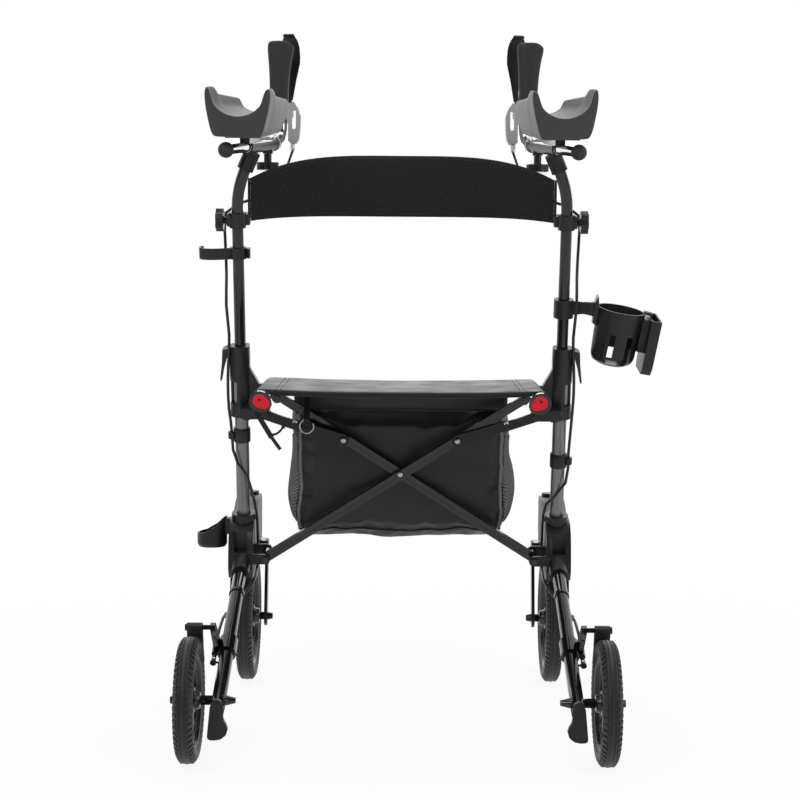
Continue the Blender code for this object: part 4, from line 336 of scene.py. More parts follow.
def build_finishes(colours):
    """Every finish of the rollator, by the name of what it is on."""
    near_black, ink, charcoal = (0.009, 0.009, 0.010), (0.012, 0.012, 0.013), (0.013, 0.013, 0.014)
    FINISHES.update(
        plastic=finish_of("moulded_plastic", colours.plastic, 0.40, grain=1400.0, bump=0.00006,
                          specular=0.30),
        paint=finish_of("satin_paint", (0.007, 0.007, 0.008), 0.20, grain=1800.0, bump=0.00002,
                        specular=0.25),
        brace=finish_of("brace_paint", near_black, 0.16, grain=1200.0, bump=0.000008, mottle=0.06,
                        coat=0.25, specular=0.32),
        gloss=finish_of("gloss_paint", (0.006, 0.006, 0.007), 0.13, grain=600.0, bump=0.000004,
                        mottle=0.06, coat=0.25, specular=0.35),
        tube=finish_of("anodised_tube", colours.tube, 0.34, 0.75, grain=2200.0, bump=0.00001),
        chrome=finish_of("polished_chrome", (0.86, 0.86, 0.87), 0.05, 1.0, grain=300.0,
                         bump=0.000002, mottle=0.03),
        steel=finish_of("zinc_steel", (0.45, 0.45, 0.46), 0.30, 1.0, bump=0.00002),
        ferrule=finish_of("ferrule_nickel", (0.78, 0.78, 0.79), 0.25, 0.6, bump=0.00001,
                          mottle=0.04),
        tyre=finish_of("tyre_rubber", ink, 0.50, grain=1100.0, bump=0.00012, mottle=0.2,
                       specular=0.4),
        rim=finish_of("wheel_plastic", ink, 0.28, grain=1200.0),
        foam=finish_of("moulded_foam", colours.foam, 0.50, grain=1000.0, bump=0.00009, sheen=0.1,
                       specular=0.35),
        grip=finish_of("grip_rubber", (0.020, 0.020, 0.021), 0.6, bump=0.00010, specular=0.3),
        housing=finish_of("housing_plastic", (0.27, 0.27, 0.275), 0.42, grain=1400.0,
                          bump=0.00006),
        vinyl=finish_of("seat_vinyl", colours.vinyl, 0.52, grain=420.0, bump=0.00020, mottle=0.45,
                        specular=0.24),
        hem=finish_of("seat_binding", near_black, 0.6, grain=1500.0, bump=0.00008, specular=0.2),
        cloth=finish_of("bag_nylon", near_black, 0.42, grain=2400.0, bump=0.00007, mottle=0.2,
                        sheen=0.15, specular=0.3),
        piping=finish_of("grey_piping", (0.11, 0.11, 0.115), 0.55, grain=1500.0, bump=0.00010),
        webbing=finish_of("webbing", ink, 0.7, grain=1800.0, bump=0.00014, specular=0.25),
        thread=finish_of("thread", (0.035, 0.035, 0.037), 0.6, grain=3000.0, bump=0.00003,
                         specular=0.2),
        sheath=finish_of("cable_sheath", (0.010, 0.010, 0.011), 0.32, bump=0.00002,
                         specular=0.35),
        lens=lens_finish("reflector_lens", colours.lens),
        # The band's mesh holes are painted near black: painted shade inside the padded band.
        band=with_mesh(finish_of("band_mesh", charcoal, 0.75, grain=1500.0, sheen=0.1,
                                 specular=0.3), 0.0062, 0.0006, (0.002, 0.002, 0.002)),
        pocket=with_mesh(finish_of("pocket_mesh", (0.16, 0.16, 0.165), 0.8, grain=1500.0),
                         0.0052, 0.0005, (0.012, 0.012, 0.012)),
    )


# Mesh helpers


def add_piece(name, bm, finish, sharp=35.0, place=ORIGIN):
    """Makes a named, smoothly shaded object of a bmesh, with its faces pointing out."""
    bmesh.ops.recalc_face_normals(bm, faces=bm.faces)
    bmesh.ops.translate(bm, verts=bm.verts, vec=place)
    mesh = bpy.data.meshes.new(name)
    bm.to_mesh(mesh)
    bm.free()
    mesh.shade_smooth()
    mesh.set_sharp_from_angle(angle=math.radians(sharp))
    piece = bpy.data.objects.new(name, mesh)
    bpy.context.scene.collection.objects.link(piece)
    mesh.materials.append(FINISHES[finish])
    return piece


def loft(rings, closed=True, capped=True, wrap=False):
    """Faces between rings of equal length; closed joins each ring's ends, wrap the last ring."""
    bm = bmesh.new()
    rows = [[bm.verts.new(p) for p in ring] for ring in rings]
    pairs = list(zip(rows, rows[1:]))
    if wrap:
        pairs.append((rows[-1], rows[0]))
    for a, b in pairs:
        n = len(a)
        for i in range(n if closed else n - 1):
            j = (i + 1) % n
            bm.faces.new((a[i], a[j], b[j], b[i]))
    if capped and not wrap:
        bm.faces.new(rows[0])
        bm.faces.new(list(reversed(rows[-1])))
    return bm


def map_cloth(piece, across, up):
    """A UV map in metres: u along across, v along up, for a weave that follows the piece."""
    layer = piece.data.uv_layers.new(name="cloth")
    for loop in piece.data.loops:
        co = piece.data.vertices[loop.vertex_index].co
        layer.data[loop.index].uv = (across(co), up(co))


def around(count):
    """Cosine and sine at even steps of a full turn."""
    return [(math.cos(math.tau * k / count), math.sin(math.tau * k / count)) for k in range(count)]


def turned(profile, steps, matrix):
    """A closed profile of (radius, height) spun round the matrix's Z."""
    return loft([[matrix @ Vector((r * c, r * s, h)) for r, h in profile] for c, s in around(steps)],
                wrap=True)


def sweep(points, radius, sides, scale=None):
    """A round tube along points; scale gives the radius's share at each point."""
    rings = []
    across = None
    for i, point in enumerate(points):
        before, after = points[max(i - 1, 0)], points[min(i + 1, len(points) - 1)]
        way = (Vector(after) - Vector(before)).normalized()
        if across is None:
            across = way.orthogonal().normalized()
        across = (across - way * across.dot(way)).normalized()
        up = way.cross(across)
        r = radius * (scale[i] if scale else 1.0)
        rings.append([Vector(point) + across * (r * c) + up * (r * s) for c, s in around(sides)])
    return loft(rings)


def merge(target, *others):
    """Adds the faces of other bmeshes to the first."""
    for other in others:
        mesh = bpy.data.meshes.new("scrap")
        other.to_mesh(mesh)
        other.free()
        target.from_mesh(mesh)
        bpy.data.meshes.remove(mesh)
    return target


def rounded_path(points, radius, steps=8):
    """Replaces each inner corner of a path by an arc that starts radius from it."""
    path = [Vector(points[0])]
    for a, b, c in zip(points, points[1:], points[2:]):
        a, b, c = Vector(a), Vector(b), Vector(c)
        start, end = b + (a - b).normalized() * radius, b + (c - b).normalized() * radius
        for k in range(steps + 1):
            t = k / steps
            path.append(start * (1 - t) ** 2 + b * (2 * t * (1 - t)) + end * t ** 2)
    path.append(Vector(points[-1]))
    return path


EDGE_ANGLE = 34.0


def dressed(node, finish, bevel, sharp=EDGE_ANGLE, cuts=(), shape=None):
    """A finished copy of a solid: doubles merged, flat faces joined and edges softened.

    cuts are (point, normal) planes that add edges, and shape then moves each point.
    """
    bm = bmesh.new()
    bm.from_mesh(frame["nodes"][node].data)
    bmesh.ops.remove_doubles(bm, verts=bm.verts, dist=0.00001)
    bmesh.ops.dissolve_limit(bm, angle_limit=math.radians(0.5), verts=bm.verts, edges=bm.edges)
    for point, normal in cuts:
        bmesh.ops.bisect_plane(bm, geom=bm.verts[:] + bm.edges[:] + bm.faces[:], dist=0.00001,
                               plane_co=Vector(point) + ORIGIN, plane_no=normal)
    if shape:
        for vertex in bm.verts:
            vertex.co = shape(vertex.co - ORIGIN) + ORIGIN
    piece = add_piece(f"{node}_shell", bm, finish, sharp, Vector())
    if bevel:
        soft = piece.modifiers.new("soft_edges", "BEVEL")
        soft.width = bevel
        soft.segments = 2
        soft.limit_method = "ANGLE"
        soft.angle_limit = math.radians(EDGE_ANGLE)
        soft.harden_normals = True
        applied(piece)
    return piece


def applied(piece):
    """Turns a piece with modifiers into a plain mesh, in place."""
    depsgraph = bpy.context.evaluated_depsgraph_get()
    mesh = bpy.data.meshes.new_from_object(piece.evaluated_get(depsgraph))
    old = piece.data
    piece.modifiers.clear()
    piece.data = mesh
    bpy.data.meshes.remove(old)
    mesh.name = piece.name
    return piece


def smooth_surface(piece, levels):
    """Rounds a piece by subdivision."""
    soft = piece.modifiers.new("smooth", "SUBSURF")
    soft.levels = levels
    soft.render_levels = levels
    return applied(piece)


def surface_of(mesh):
    """A search tree of a mesh's faces, for placing things on its surface."""
    return BVHTree.FromPolygons([v.co for v in mesh.vertices], [p.vertices for p in mesh.polygons])


def settle(piece, body, slot, *nodes):
    """Ties a finished piece to its body and hides the solids that it stands for; slot is not used."""
    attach(piece, body)
    if nodes:
        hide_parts(*nodes)
    return piece


# Repeats made with Geometry Nodes


def repeated(name, unit, places, finish, sharp=35.0):
    """One mesh of the unit bmesh repeated at each place, a matrix, through Geometry Nodes."""
    tree = shared("repeat_on_points")
    source = add_piece(f"{name}_unit", unit, finish, sharp, Vector())
    points = bpy.data.meshes.new(name)
    points.from_pydata([m.translation + ORIGIN for m in places], [], [])
    turns = points.attributes.new("turn", "FLOAT_VECTOR", "POINT")
    for i, m in enumerate(places):
        turns.data[i].vector = m.to_euler()
    piece = bpy.data.objects.new(name, points)
    bpy.context.scene.collection.objects.link(piece)
    spread = piece.modifiers.new("repeat", "NODES")
    spread.node_group = tree
    sockets = {s.name: s.identifier for s in tree.interface.items_tree if s.in_out == "INPUT"}
    spread[sockets["Piece"]] = source
    spread[sockets["Finish"]] = FINISHES[finish]
    applied(piece)
    bpy.data.objects.remove(source)
    return piece


def facing(origin, out):
    """A matrix at origin whose Z points along out."""
    z = Vector(out).normalized()
    x = AXIS_Z.cross(z)
    x = x.normalized() if x.length > 0.001 else z.orthogonal().normalized()
    turn = Matrix((x, z.cross(x), z)).transposed().to_4x4()
    return Matrix.Translation(origin) @ turn


def capsule_unit(length, radius):
    """A short rounded thread along X."""
    steps = ((-0.5, 0.35), (-0.42, 0.85), (0.0, 1.0), (0.42, 0.85), (0.5, 0.35))
    return sweep([(length * a, 0, 0) for a, _ in steps], radius, 6, [b for _, b in steps])


def stitches(name, path, length, gap, radius, lift=AXIS_Z):
    """Separate stitches of thread laid end to end along a path of points."""
    places = []
    carry = 0.0
    for a, b in zip(path, path[1:]):
        a, b = Vector(a), Vector(b)
        run = (b - a).length
        way = (b - a).normalized()
        side = lift.cross(way).normalized()
        turn = Matrix((way, side, way.cross(side))).transposed().to_4x4()
        s = carry
        while s < run:
            places.append(Matrix.Translation(a + way * s) @ turn)
            s += length + gap
        carry = s - run
    return repeated(name, capsule_unit(length, radius), places, "thread", 60.0)


def bolt_unit(radius, height):
    """Domed socket bolt head whose base is at the origin and whose top is along Z."""
    profile = [(0.0001, 0), (radius, 0), (radius, height * 0.45), (radius * 0.86, height * 0.82),
               (radius * 0.62, height), (radius * 0.46, height), (radius * 0.42, height * 0.9),
               (radius * 0.40, height * 0.35), (0.0001, height * 0.35)]
    return turned(profile, 16, Matrix.Identity(4))


# Wheels

WHEEL_PLACES = {"rear": (0.315, 0.0), "front": (0.2715, 0.522)}
HUB_WIDTHS = {"rear": 0.034, "front": 0.040}
TYRE_DEPTH = 0.024
RIM_HALF = 0.0112
BLOCK_LIFT = 0.0012
BLOCK_HALF = 0.0032


def tyre_profile(radius, half):
    """Section of a tyre: three raised tread ribs, shoulders and a bead at the rim."""
    crown = [(0.0, 0.0), (0.0, 0.0020), (-0.0011, 0.0027), (-0.0013, 0.0042), (-0.0004, 0.0050),
             (-0.0010, 0.0078), (-0.0022, 0.0085)]
    outer = [(radius + dr, h) for dr, h in crown]
    outer += [(radius - half * 0.45, half * 0.80), (radius - half * 0.75, half * 0.96),
              (radius - half * 1.05, half), (radius - half * 1.35, half * 0.93),
              (radius - TYRE_DEPTH, half * 0.76), (radius - TYRE_DEPTH - 0.0015, half * 0.72)]
    return outer[::-1] + [(r, -h) for r, h in outer[1:]]


def tread_block(radius, half, side):
    """One shoulder block of the tread, curved over the tyre's edge."""
    outline = [(radius - 0.0016, 0.0086), (radius - half * 0.36, half * 0.80),
               (radius - half * 0.66, half * 0.965)]
    rings = []
    for at, squeeze in ((-1, 0.75), (-0.8, 1.0), (0.8, 1.0), (1, 0.75)):
        ring = [(r + BLOCK_LIFT * squeeze, h * 1.01) for r, h in outline]
        ring += [(r - 0.0012, h * 0.97) for r, h in reversed(outline)]
        rings.append([Vector((r, at * BLOCK_HALF, side * h)) for r, h in ring])
    return loft(rings)


def both_faces(profile):
    """A half section of (radius, height) closed by its mirror image."""
    return profile + [(r, -h) for r, h in reversed(profile)]


def rim_profile(inner):
    """Section of the rim: a flange at each face and a deep well between them."""
    return both_faces([
        (inner + 0.0005, RIM_HALF), (inner - 0.0012, RIM_HALF + 0.0006), (inner - 0.0030, RIM_HALF),
        (inner - 0.0045, RIM_HALF * 0.62), (inner - 0.0120, RIM_HALF * 0.50),
        (inner - 0.0130, RIM_HALF * 0.30)])


def hub_profile(half):
    """Section of the hub: a boss at each face and a thinner web where the spokes start."""
    return both_faces([
        (0.0046, half - 0.0002), (0.0120, half - 0.0002), (0.0136, half * 0.86),
        (0.0150, half * 0.55), (0.0190, half * 0.46), (0.0190, 0.0030)])


def spoke(inner, turn):
    """One spoke along the turned X axis, wider at the hub and at the rim."""
    rings = []
    for t in (0.0, 0.12, 0.35, 0.65, 0.9, 1.0):
        r = mix(0.0165, inner - 0.0115, t)
        wide = 0.0068 * (1.0 + 0.45 * (2 * t - 1) ** 4)
        tall = mix(0.0060, 0.0046, t)
        rings.append([turn @ Vector((r, power(c, 0.6) * wide, power(s, 0.5) * tall))
                      for c, s in around(16)])
    return loft(rings)


def wheel_pieces(kind, side_name, side, radius, settings):
    """A wheel's tyre, its two rows of tread blocks, and its rim with spokes and hub."""
    x, y = WHEEL_PLACES[kind]
    half = settings.width / 2
    body = f"{kind}_wheel_{side_name}"
    matrix = facing((side * x, y, radius), AXIS_X)
    tyre = add_piece(f"{kind}_tyre_{side_name}", turned(tyre_profile(radius, half), 112, matrix),
                     "tyre", 50.0)
    count = int(math.tau * radius / settings.block_pitch)
    for edge, face, shift in (("inner", -1, 0.0), ("outer", 1, 0.5)):
        places = [matrix @ Matrix.Rotation(math.tau * (k + shift) / count, 4, "Z")
                  for k in range(count)]
        blocks = repeated(f"{kind}_{edge}_blocks_{side_name}", tread_block(radius, half, face),
                          places, "tyre", 30.0)
        settle(blocks, body, "tyre_rubber")
    settle(tyre, body, "tyre_rubber", body)
    inner = radius - TYRE_DEPTH
    made = turned(rim_profile(inner), 96, matrix)
    merge(made, turned(hub_profile(HUB_WIDTHS[kind] / 2), 40, matrix))
    for k in range(settings.spokes):
        merge(made, spoke(inner, matrix @ Matrix.Rotation(math.tau * k / settings.spokes, 4, "Z")))
    settle(add_piece(f"{kind}_rim_{side_name}", made, "rim", 35.0), body, "tyre_rubber")


class OBJECT_OT_rollator_wheels(bpy.types.Operator):
    """Four wheels: tyres with tread blocks, rims, spokes and hubs"""

    bl_idname = "object.rollator_wheels"
    bl_label = "Wheels"

    def execute(self, context):
        settings = context.scene.rollator_wheels
        for side_name, side in SIDES:
            wheel_pieces("rear", side_name, side, settings.rear_radius, settings)
            wheel_pieces("front", side_name, side, settings.front_radius, settings)
        return {"FINISHED"}


# Rigid parts that keep their solid's shape

# Finish, record slot and edge width of each solid that both sides have
SHELLS = {
    "lower_tube": ("tube", "grey_anodised", 0.0002),
    "lower_casting": ("plastic", "black_plastic", 0.0012),
    "rear_leg": ("gloss", "gloss_black_metal", 0.0004),
    "foot_pedal": ("plastic", "black_plastic", 0.0008),
    "hub_casting": ("plastic", "black_plastic", 0.0008),
    "front_fork": ("paint", "dark_metal", 0.0006),
    "brake_shoe": ("plastic", "black_plastic", 0.0006),
    "height_lever": ("plastic", "black_plastic", 0.0006),
    "arm_bracket": ("paint", "dark_metal", 0.0005),
    "backrest_bracket": ("plastic", "black_plastic", 0.0006),
    "backrest_knob": ("plastic", "black_plastic", 0.0012),
    "bar_knob": ("plastic", "black_plastic", 0.0012),
    "lever_housing": ("housing", "housing_grey", 0.0008),
    "brake_lever": ("plastic", "black_plastic", 0.0008),
    "seat_rail": ("gloss", "gloss_black_metal", 0.0008),
    "lock_arm": ("paint", "dark_metal", 0.0007),
    "lock_link": ("paint", "dark_metal", 0.0007),
}
# The same for the solids that there is one of
SINGLE_SHELLS = {
    "cross_bar_a": ("brace", "dark_metal", 0.0014),
    "cross_bar_b": ("brace", "dark_metal", 0.0014),
    "cane_clip": ("plastic", "black_plastic", 0.0005),
    "cane_cup": ("plastic", "black_plastic", 0.0006),
    "cup_clamp": ("plastic", "black_plastic", 0.0006),
    "cup_holder": ("plastic", "black_plastic", 0.0005),
    "fold_hook": ("webbing", "nylon", 0.0005),
}


def body_of_node(node):
    for body, members in frame["record"]["behaviour"]["bodies"].items():
        if node in members:
            return body
    raise ValueError(f"no body holds {node}")


# Height, inboard edge and outboard edge of a brake lever as seen from behind
LEVER_EDGES = ((1.018, 0.1840, 0.2120), (1.028, 0.1914, 0.2000), (1.0455, 0.1889, 0.1995),
               (1.0653, 0.1858, 0.2015), (1.080, 0.1825, 0.2040), (1.095, 0.1795, 0.2075),
               (1.1074, 0.1793, 0.2095), (1.1198, 0.1803, 0.2110), (1.131, 0.1825, 0.2108),
               (1.137, 0.1850, 0.2090), (1.144, 0.1895, 0.2050))
LEVER_INBOARD = 0.184
LEVER_WIDTH = 0.028
LEVER_MIDDLE = 0.197
LEVER_TWIST = 0.25
HOOK_FOOT = 1.12
HOOK_SHARE = 0.82


def lever_shape(side):
    """Waists the lever at its root, bows its inboard edge and rounds the top of its hook."""
    def moved(p):
        if p.z <= LEVER_EDGES[0][0]:
            return p
        for (z0, a0, b0), (z1, a1, b1) in zip(LEVER_EDGES, LEVER_EDGES[1:]):
            if p.z <= z1:
                break
        t = min(1.0, (p.z - z0) / (z1 - z0))
        share = (p.x * side - LEVER_INBOARD) / LEVER_WIDTH
        x = mix(mix(a0, a1, t), mix(b0, b1, t), share)
        z = p.z if p.z < HOOK_FOOT else mix(HOOK_FOOT, p.z, HOOK_SHARE)
        return Vector((side * x, p.y + (x - LEVER_MIDDLE) * LEVER_TWIST, z))
    return moved


FIN_X = 0.2545
FIN_FOOT = 0.5455
FIN_TOP = 0.5755


def hub_shape(side):
    """Pares the inboard fin so that it rises straight from the rail to the post's socket."""
    def moved(p):
        spare = FIN_X - p.x * side
        if spare > 0 and p.z > FIN_FOOT:
            left = max(0.0, (FIN_TOP - p.z) / (FIN_TOP - FIN_FOOT))
            p = Vector((side * (FIN_X - spare * left), p.y, p.z))
        return p
    return moved


CUP_TILT = math.radians(9.5)
CUP_OPENS = math.radians(9.6)
CUP_AXIS = Vector((math.sin(CUP_TILT), 0, math.cos(CUP_TILT)))
CUP_ACROSS = Vector((CUP_AXIS.z, 0, -CUP_AXIS.x))
CUP_RIM = Vector((0.3668, 0.3350, 0.6770))
CUP_FOOT = CUP_RIM - CUP_AXIS * 0.096
CUP_ROUND = 0.020
CUP_RADIUS = 0.037
CUP_REACH = 0.0425
POCKET_FROM = 0.0435
POCKET_LOW = 0.020
ARM_END = 0.312
ARM_BLEND = 0.014


def cup_shape(p):
    """Rounds the cup's foot, tapers the pocket's and leans both so that the rim opens rearward."""
    local = p - CUP_FOOT
    a, b, h = local.dot(CUP_ACROSS), local.y, local.dot(CUP_AXIS)
    if math.hypot(a, b) < CUP_REACH and h < CUP_ROUND:
        spare = CUP_ROUND - max(0.0, h)
        inset = CUP_ROUND - math.sqrt(CUP_ROUND ** 2 - spare ** 2)
        share = (CUP_RADIUS - inset) / CUP_RADIUS
        a, b = a * share, b * share
    elif a > POCKET_FROM and h < POCKET_LOW:
        t = (POCKET_LOW - h) / 0.027
        h, b = h + 0.006 * t, b * (1 - 0.24 * t * t)
    p = CUP_FOOT + CUP_ACROSS * a + AXIS_Y * b + CUP_AXIS * h
    turn = Matrix.Rotation(CUP_OPENS * min(1.0, max(0.0, (p.x - ARM_END) / ARM_BLEND)), 3, "X")
    return CUP_RIM + AXIS_X * (p.x - CUP_RIM.x) + turn @ Vector((0, p.y - CUP_RIM.y, p.z - CUP_RIM.z))


LENS_TIP = math.radians(28)


def lens_shape(side):
    """Draws the round lens out to a blunt tip, low on its inboard side."""
    def moved(p):
        a, b = (p.x - side * RAIL_X) * -side, p.z - RAIL_Z
        angle = math.atan2(b, a)
        tip = max(0.0, math.cos(angle + LENS_TIP)) ** 5
        share = 0.86 + 0.22 * tip + 0.05 * abs(math.cos(angle))
        return Vector((side * (RAIL_X - a * share - 0.0008), p.y, RAIL_Z + b * share + 0.0005))
    return moved


# Height, spread and inward draw of each bend of the cable
CABLE_BENDS = ((0.636, 0.075, 0.0085), (0.893, 0.021, -0.0200))


def cable_shape(side):
    """Draws the cable closer to the post above the hub and bows it outward below its ferrule."""
    def moved(p):
        draw = sum(most * math.exp(-((p.z - z) / spread) ** 2) for z, spread, most in CABLE_BENDS)
        return Vector((p.x - side * draw, p.y, p.z))
    return moved


def level_cuts(*heights):
    """Level planes that give a solid more edges to reshape."""
    return [((0, 0, z), AXIS_Z) for z in heights]


def reshaped_nodes():
    """The cuts and the new shape of each solid that the scene reshapes."""
    rises = (0.0015, 0.0035, 0.006, 0.009, 0.0125, 0.016, CUP_ROUND)
    jobs = {"cup_holder": ([(CUP_FOOT + CUP_AXIS * h, CUP_AXIS) for h in rises], cup_shape)}
    for side_name, side in SIDES:
        heights = [z for z, _, _ in LEVER_EDGES[:-1]]
        jobs[f"brake_lever_{side_name}"] = (level_cuts(*heights), lever_shape(side))
        jobs[f"hub_casting_{side_name}"] = (level_cuts(FIN_FOOT, FIN_TOP), hub_shape(side))
    return jobs


BAND_HEIGHTS = {"left": 0.4685, "right": 0.4265}
EYE_OUT = 0.0169


def collar(inner, outer, half, chamfer):
    """Section of a ring with chamfered outer edges."""
    upper = [(outer, half - 0.0006), (outer - chamfer, half + 0.0004), (inner, half)]
    return [(r, -h) for r, h in reversed(upper)] + upper


def cable_band(side_name, side):
    """Clamp round the lower tube with a small eye that holds the cable."""
    u = BAND_HEIGHTS[side_name]
    made = turned(collar(0.0119, 0.0144, 0.0120, 0.0008), 40,
                  facing(lean(side * POST_X, 0, u), UPWARD))
    return merge(made, turned(collar(0.0026, 0.0064, 0.0060, 0.0006), 20,
                              facing(lean(side * (POST_X + EYE_OUT), -0.004, u), UPWARD)))


class OBJECT_OT_rollator_frame(bpy.types.Operator):
    """Castings, tubes, forks, brace, levers and cable bands, with softened edges"""

    bl_idname = "object.rollator_frame"
    bl_label = "Frame and castings"

    def execute(self, context):
        jobs = [(f"{node}_{side}", *made) for node, made in SHELLS.items() for side, _ in SIDES]
        jobs += [(node, *made) for node, made in SINGLE_SHELLS.items()]
        reshaped = reshaped_nodes()
        for node, finish, slot, bevel in jobs:
            cuts, shape = reshaped.get(node, ((), None))
            piece = dressed(node, finish, bevel, cuts=cuts, shape=shape)
            settle(piece, body_of_node(node), slot, node)
        for side_name, side in SIDES:
            clamp = add_piece(f"cable_band_{side_name}", cable_band(side_name, side), "plastic", 40.0)
            settle(clamp, f"{side_name}_frame", "black_plastic")
        return {"FINISHED"}


# Round metal parts swept afresh


def post_path(side):
    """Middle line of a post: straight from its foot, then bent inwards to its top."""
    path = [(POST_X, 0.440), (POST_X, 0.855), (0.2688, 0.877), (0.2643, 0.899), (0.2565, 0.922),
            (0.2478, 0.942)]
    points = [lean(side * x, 0, u) for x, u in path]
    fine = points[:2]
    for i in range(1, len(points) - 1):
        a, b = points[i], points[i + 1]
        before, after = points[i - 1], points[min(i + 2, len(points) - 1)]
        leave = (b - before).normalized() * (b - a).length / 3
        reach = (after - a).normalized() * (b - a).length / 3
        if i == 1:
            leave = UPWARD * (b - a).length / 3
        for k in range(1, 5):
            t = k / 4
            u = 1 - t
            fine.append(a * u ** 3 + (a + leave) * 3 * u * u * t + (b - reach) * 3 * u * t * t
                        + b * t ** 3)
    return fine


BAR_BALL = (0.2752, 0.1627, 0.9268)
GRIP_X, GRIP_Y = 0.2070, 0.4430
BAR_CORNER = (GRIP_X, GRIP_Y, 0.9560)
BAR_TOP = 1.112
BAR_BEND = 0.034
BAR_RADIUS = 0.0086
BALL_RADIUS = 0.0125
SLEEVE_RADIUS = 0.0114
RING_RADIUS = 0.0138
FERRULE_PLACE = (0.1890, 0.4400, 0.9405)


def on_side(side, place):
    """A place of the right side taken to the given side."""
    return Vector((side * place[0], *place[1:]))


def bar_point(side, s, rise=0.0):
    """A point s along the forearm bar from its rear ball, raised by rise."""
    ball, corner = on_side(side, BAR_BALL), on_side(side, BAR_CORNER)
    return ball + (corner - ball).normalized() * s + AXIS_Z * rise


def ball_mesh(centre, radius):
    profile = [(max(0.0001, radius * math.sin(math.pi * k / 12)), -radius * math.cos(math.pi * k / 12))
               for k in range(13)]
    return turned(profile, 28, Matrix.Translation(centre))


def bar_mesh(side):
    """Round bar from its rear ball forward to the corner and up inside the grip."""
    corner = on_side(side, BAR_CORNER)
    route = [bar_point(side, 0.004), corner, (corner.x, corner.y, BAR_TOP)]
    return sweep(rounded_path(route, BAR_BEND, 14), BAR_RADIUS, 36)


def sleeve_mesh(side):
    """Sleeve round the bar, forward of the bracket."""
    line = [bar_point(side, s, 0.0022) for s in (0.098, 0.099, 0.150, 0.200, 0.2355, 0.2360)]
    return sweep(line, SLEEVE_RADIUS, 36, (0.97, 1.0, 1.0, 1.0, 1.0, 0.97))


def sleeve_ring_mesh(side):
    line = [bar_point(side, s) for s in (0.2345, 0.2352, 0.2400, 0.2407)]
    return sweep(line, RING_RADIUS, 36, (0.96, 1.0, 1.0, 0.96))


def ferrule_mesh(side):
    section = [(0.0001, 0.0), (0.0040, 0.0), (0.0046, 0.0008), (0.0046, 0.0120), (0.0040, 0.0132),
               (0.0036, 0.0155), (0.0001, 0.0155)]
    return turned(section, 24, Matrix.Translation(on_side(side, FERRULE_PLACE)))


class OBJECT_OT_rollator_bars(bpy.types.Operator):
    """Gloss posts, chromed forearm bars with balls, sleeves and rings, and the brake cables"""

    bl_idname = "object.rollator_bars"
    bl_label = "Posts, bars and cables"

    def execute(self, context):
        for side_name, side in SIDES:
            post, bar = f"post_{side_name}", f"arm_bar_{side_name}"
            settle(add_piece(f"post_tube_{side_name}", sweep(post_path(side), POST_RADIUS, 36),
                             "gloss", 60.0), post, "gloss_black_metal", f"handle_post_{side_name}")
            settle(add_piece(f"chrome_bar_{side_name}", bar_mesh(side), "chrome", 60.0),
                   bar, "chrome", f"handle_bar_{side_name}")
            settle(add_piece(f"bar_end_ball_{side_name}",
                             ball_mesh(bar_point(side, 0.0), BALL_RADIUS), "grip", 60.0),
                   bar, "grip_rubber")
            node = f"brake_cable_{side_name}"
            settle(dressed(node, "sheath", 0, 80.0, shape=cable_shape(side)),
                   post, "cable_black", node)
            settle(add_piece(f"chrome_sleeve_{side_name}", sleeve_mesh(side), "chrome", 50.0),
                   post, "chrome")
            settle(add_piece(f"sleeve_ring_{side_name}", sleeve_ring_mesh(side), "steel", 40.0),
                   post, "chrome")
            settle(add_piece(f"cable_ferrule_{side_name}", ferrule_mesh(side), "ferrule", 40.0),
                   bar, "chrome")
        return {"FINISHED"}


# Forearm pads and grips

PAD_WIDTH = 0.105
PAD_FRONT_WIDTH = 0.088
PAD_LENGTH = 0.190
PAD_FLOOR = 0.0325
PAD_LIPS = (0.0765, 0.0642, 0.0555)
PAD_STEP = (0.20, 0.37)
PAD_HALF = [(0.0, 0.0, 0.0), (0.40, 0.0, 0.0), (0.62, 0.0, 0.0), (0.705, 0.0012, 0.0),
            (0.765, 0.006, 0.0), (0.825, 0.0, 0.18), (0.89, 0.0, 0.37), (0.965, 0.0, 0.60),
            (1.0, 0.0, 0.80), (0.995, 0.0, 0.93), (0.965, 0.0, 0.99), (0.925, 0.0, 1.0),
            (0.885, 0.0, 0.975), (0.835, 0.0, 0.90)]
PAD_TOP = 11
PAD_TROUGH = (0.756, 0.68, 0.59, 0.47, 0.34, 0.17)
PAD_PLACES = {-1: (-0.2577, 0.142, 0.9445), 1: (0.2537, 0.142, 0.9445)}
PAD_TOE_IN = math.radians(7.5)
PAD_RISE = math.radians(6.0)
PAD_CANT = math.radians(-2.4)
PAD_EDGE = 0.055


def pad_frame(side):
    """Place and turn of a pad: the middle of its rear lower edge, Y along its length."""
    return (Matrix.Translation(PAD_PLACES[side]) @ Matrix.Rotation(PAD_TOE_IN * side, 4, "Z")
            @ Matrix.Rotation(PAD_RISE, 4, "X") @ Matrix.Rotation(PAD_CANT * side, 4, "Y"))


def pad_lip(t):
    """Height of the lips: tall at the elbow, a short step down, then a slow fall to the wrist."""
    low, high = PAD_STEP
    step = min(1.0, max(0.0, (t - low) / (high - low)))
    step = step * step * (3 - 2 * step)
    tall, middle, front = PAD_LIPS
    return mix(tall, middle, step) - (middle - front) * max(0.0, t - high) / (1 - high)


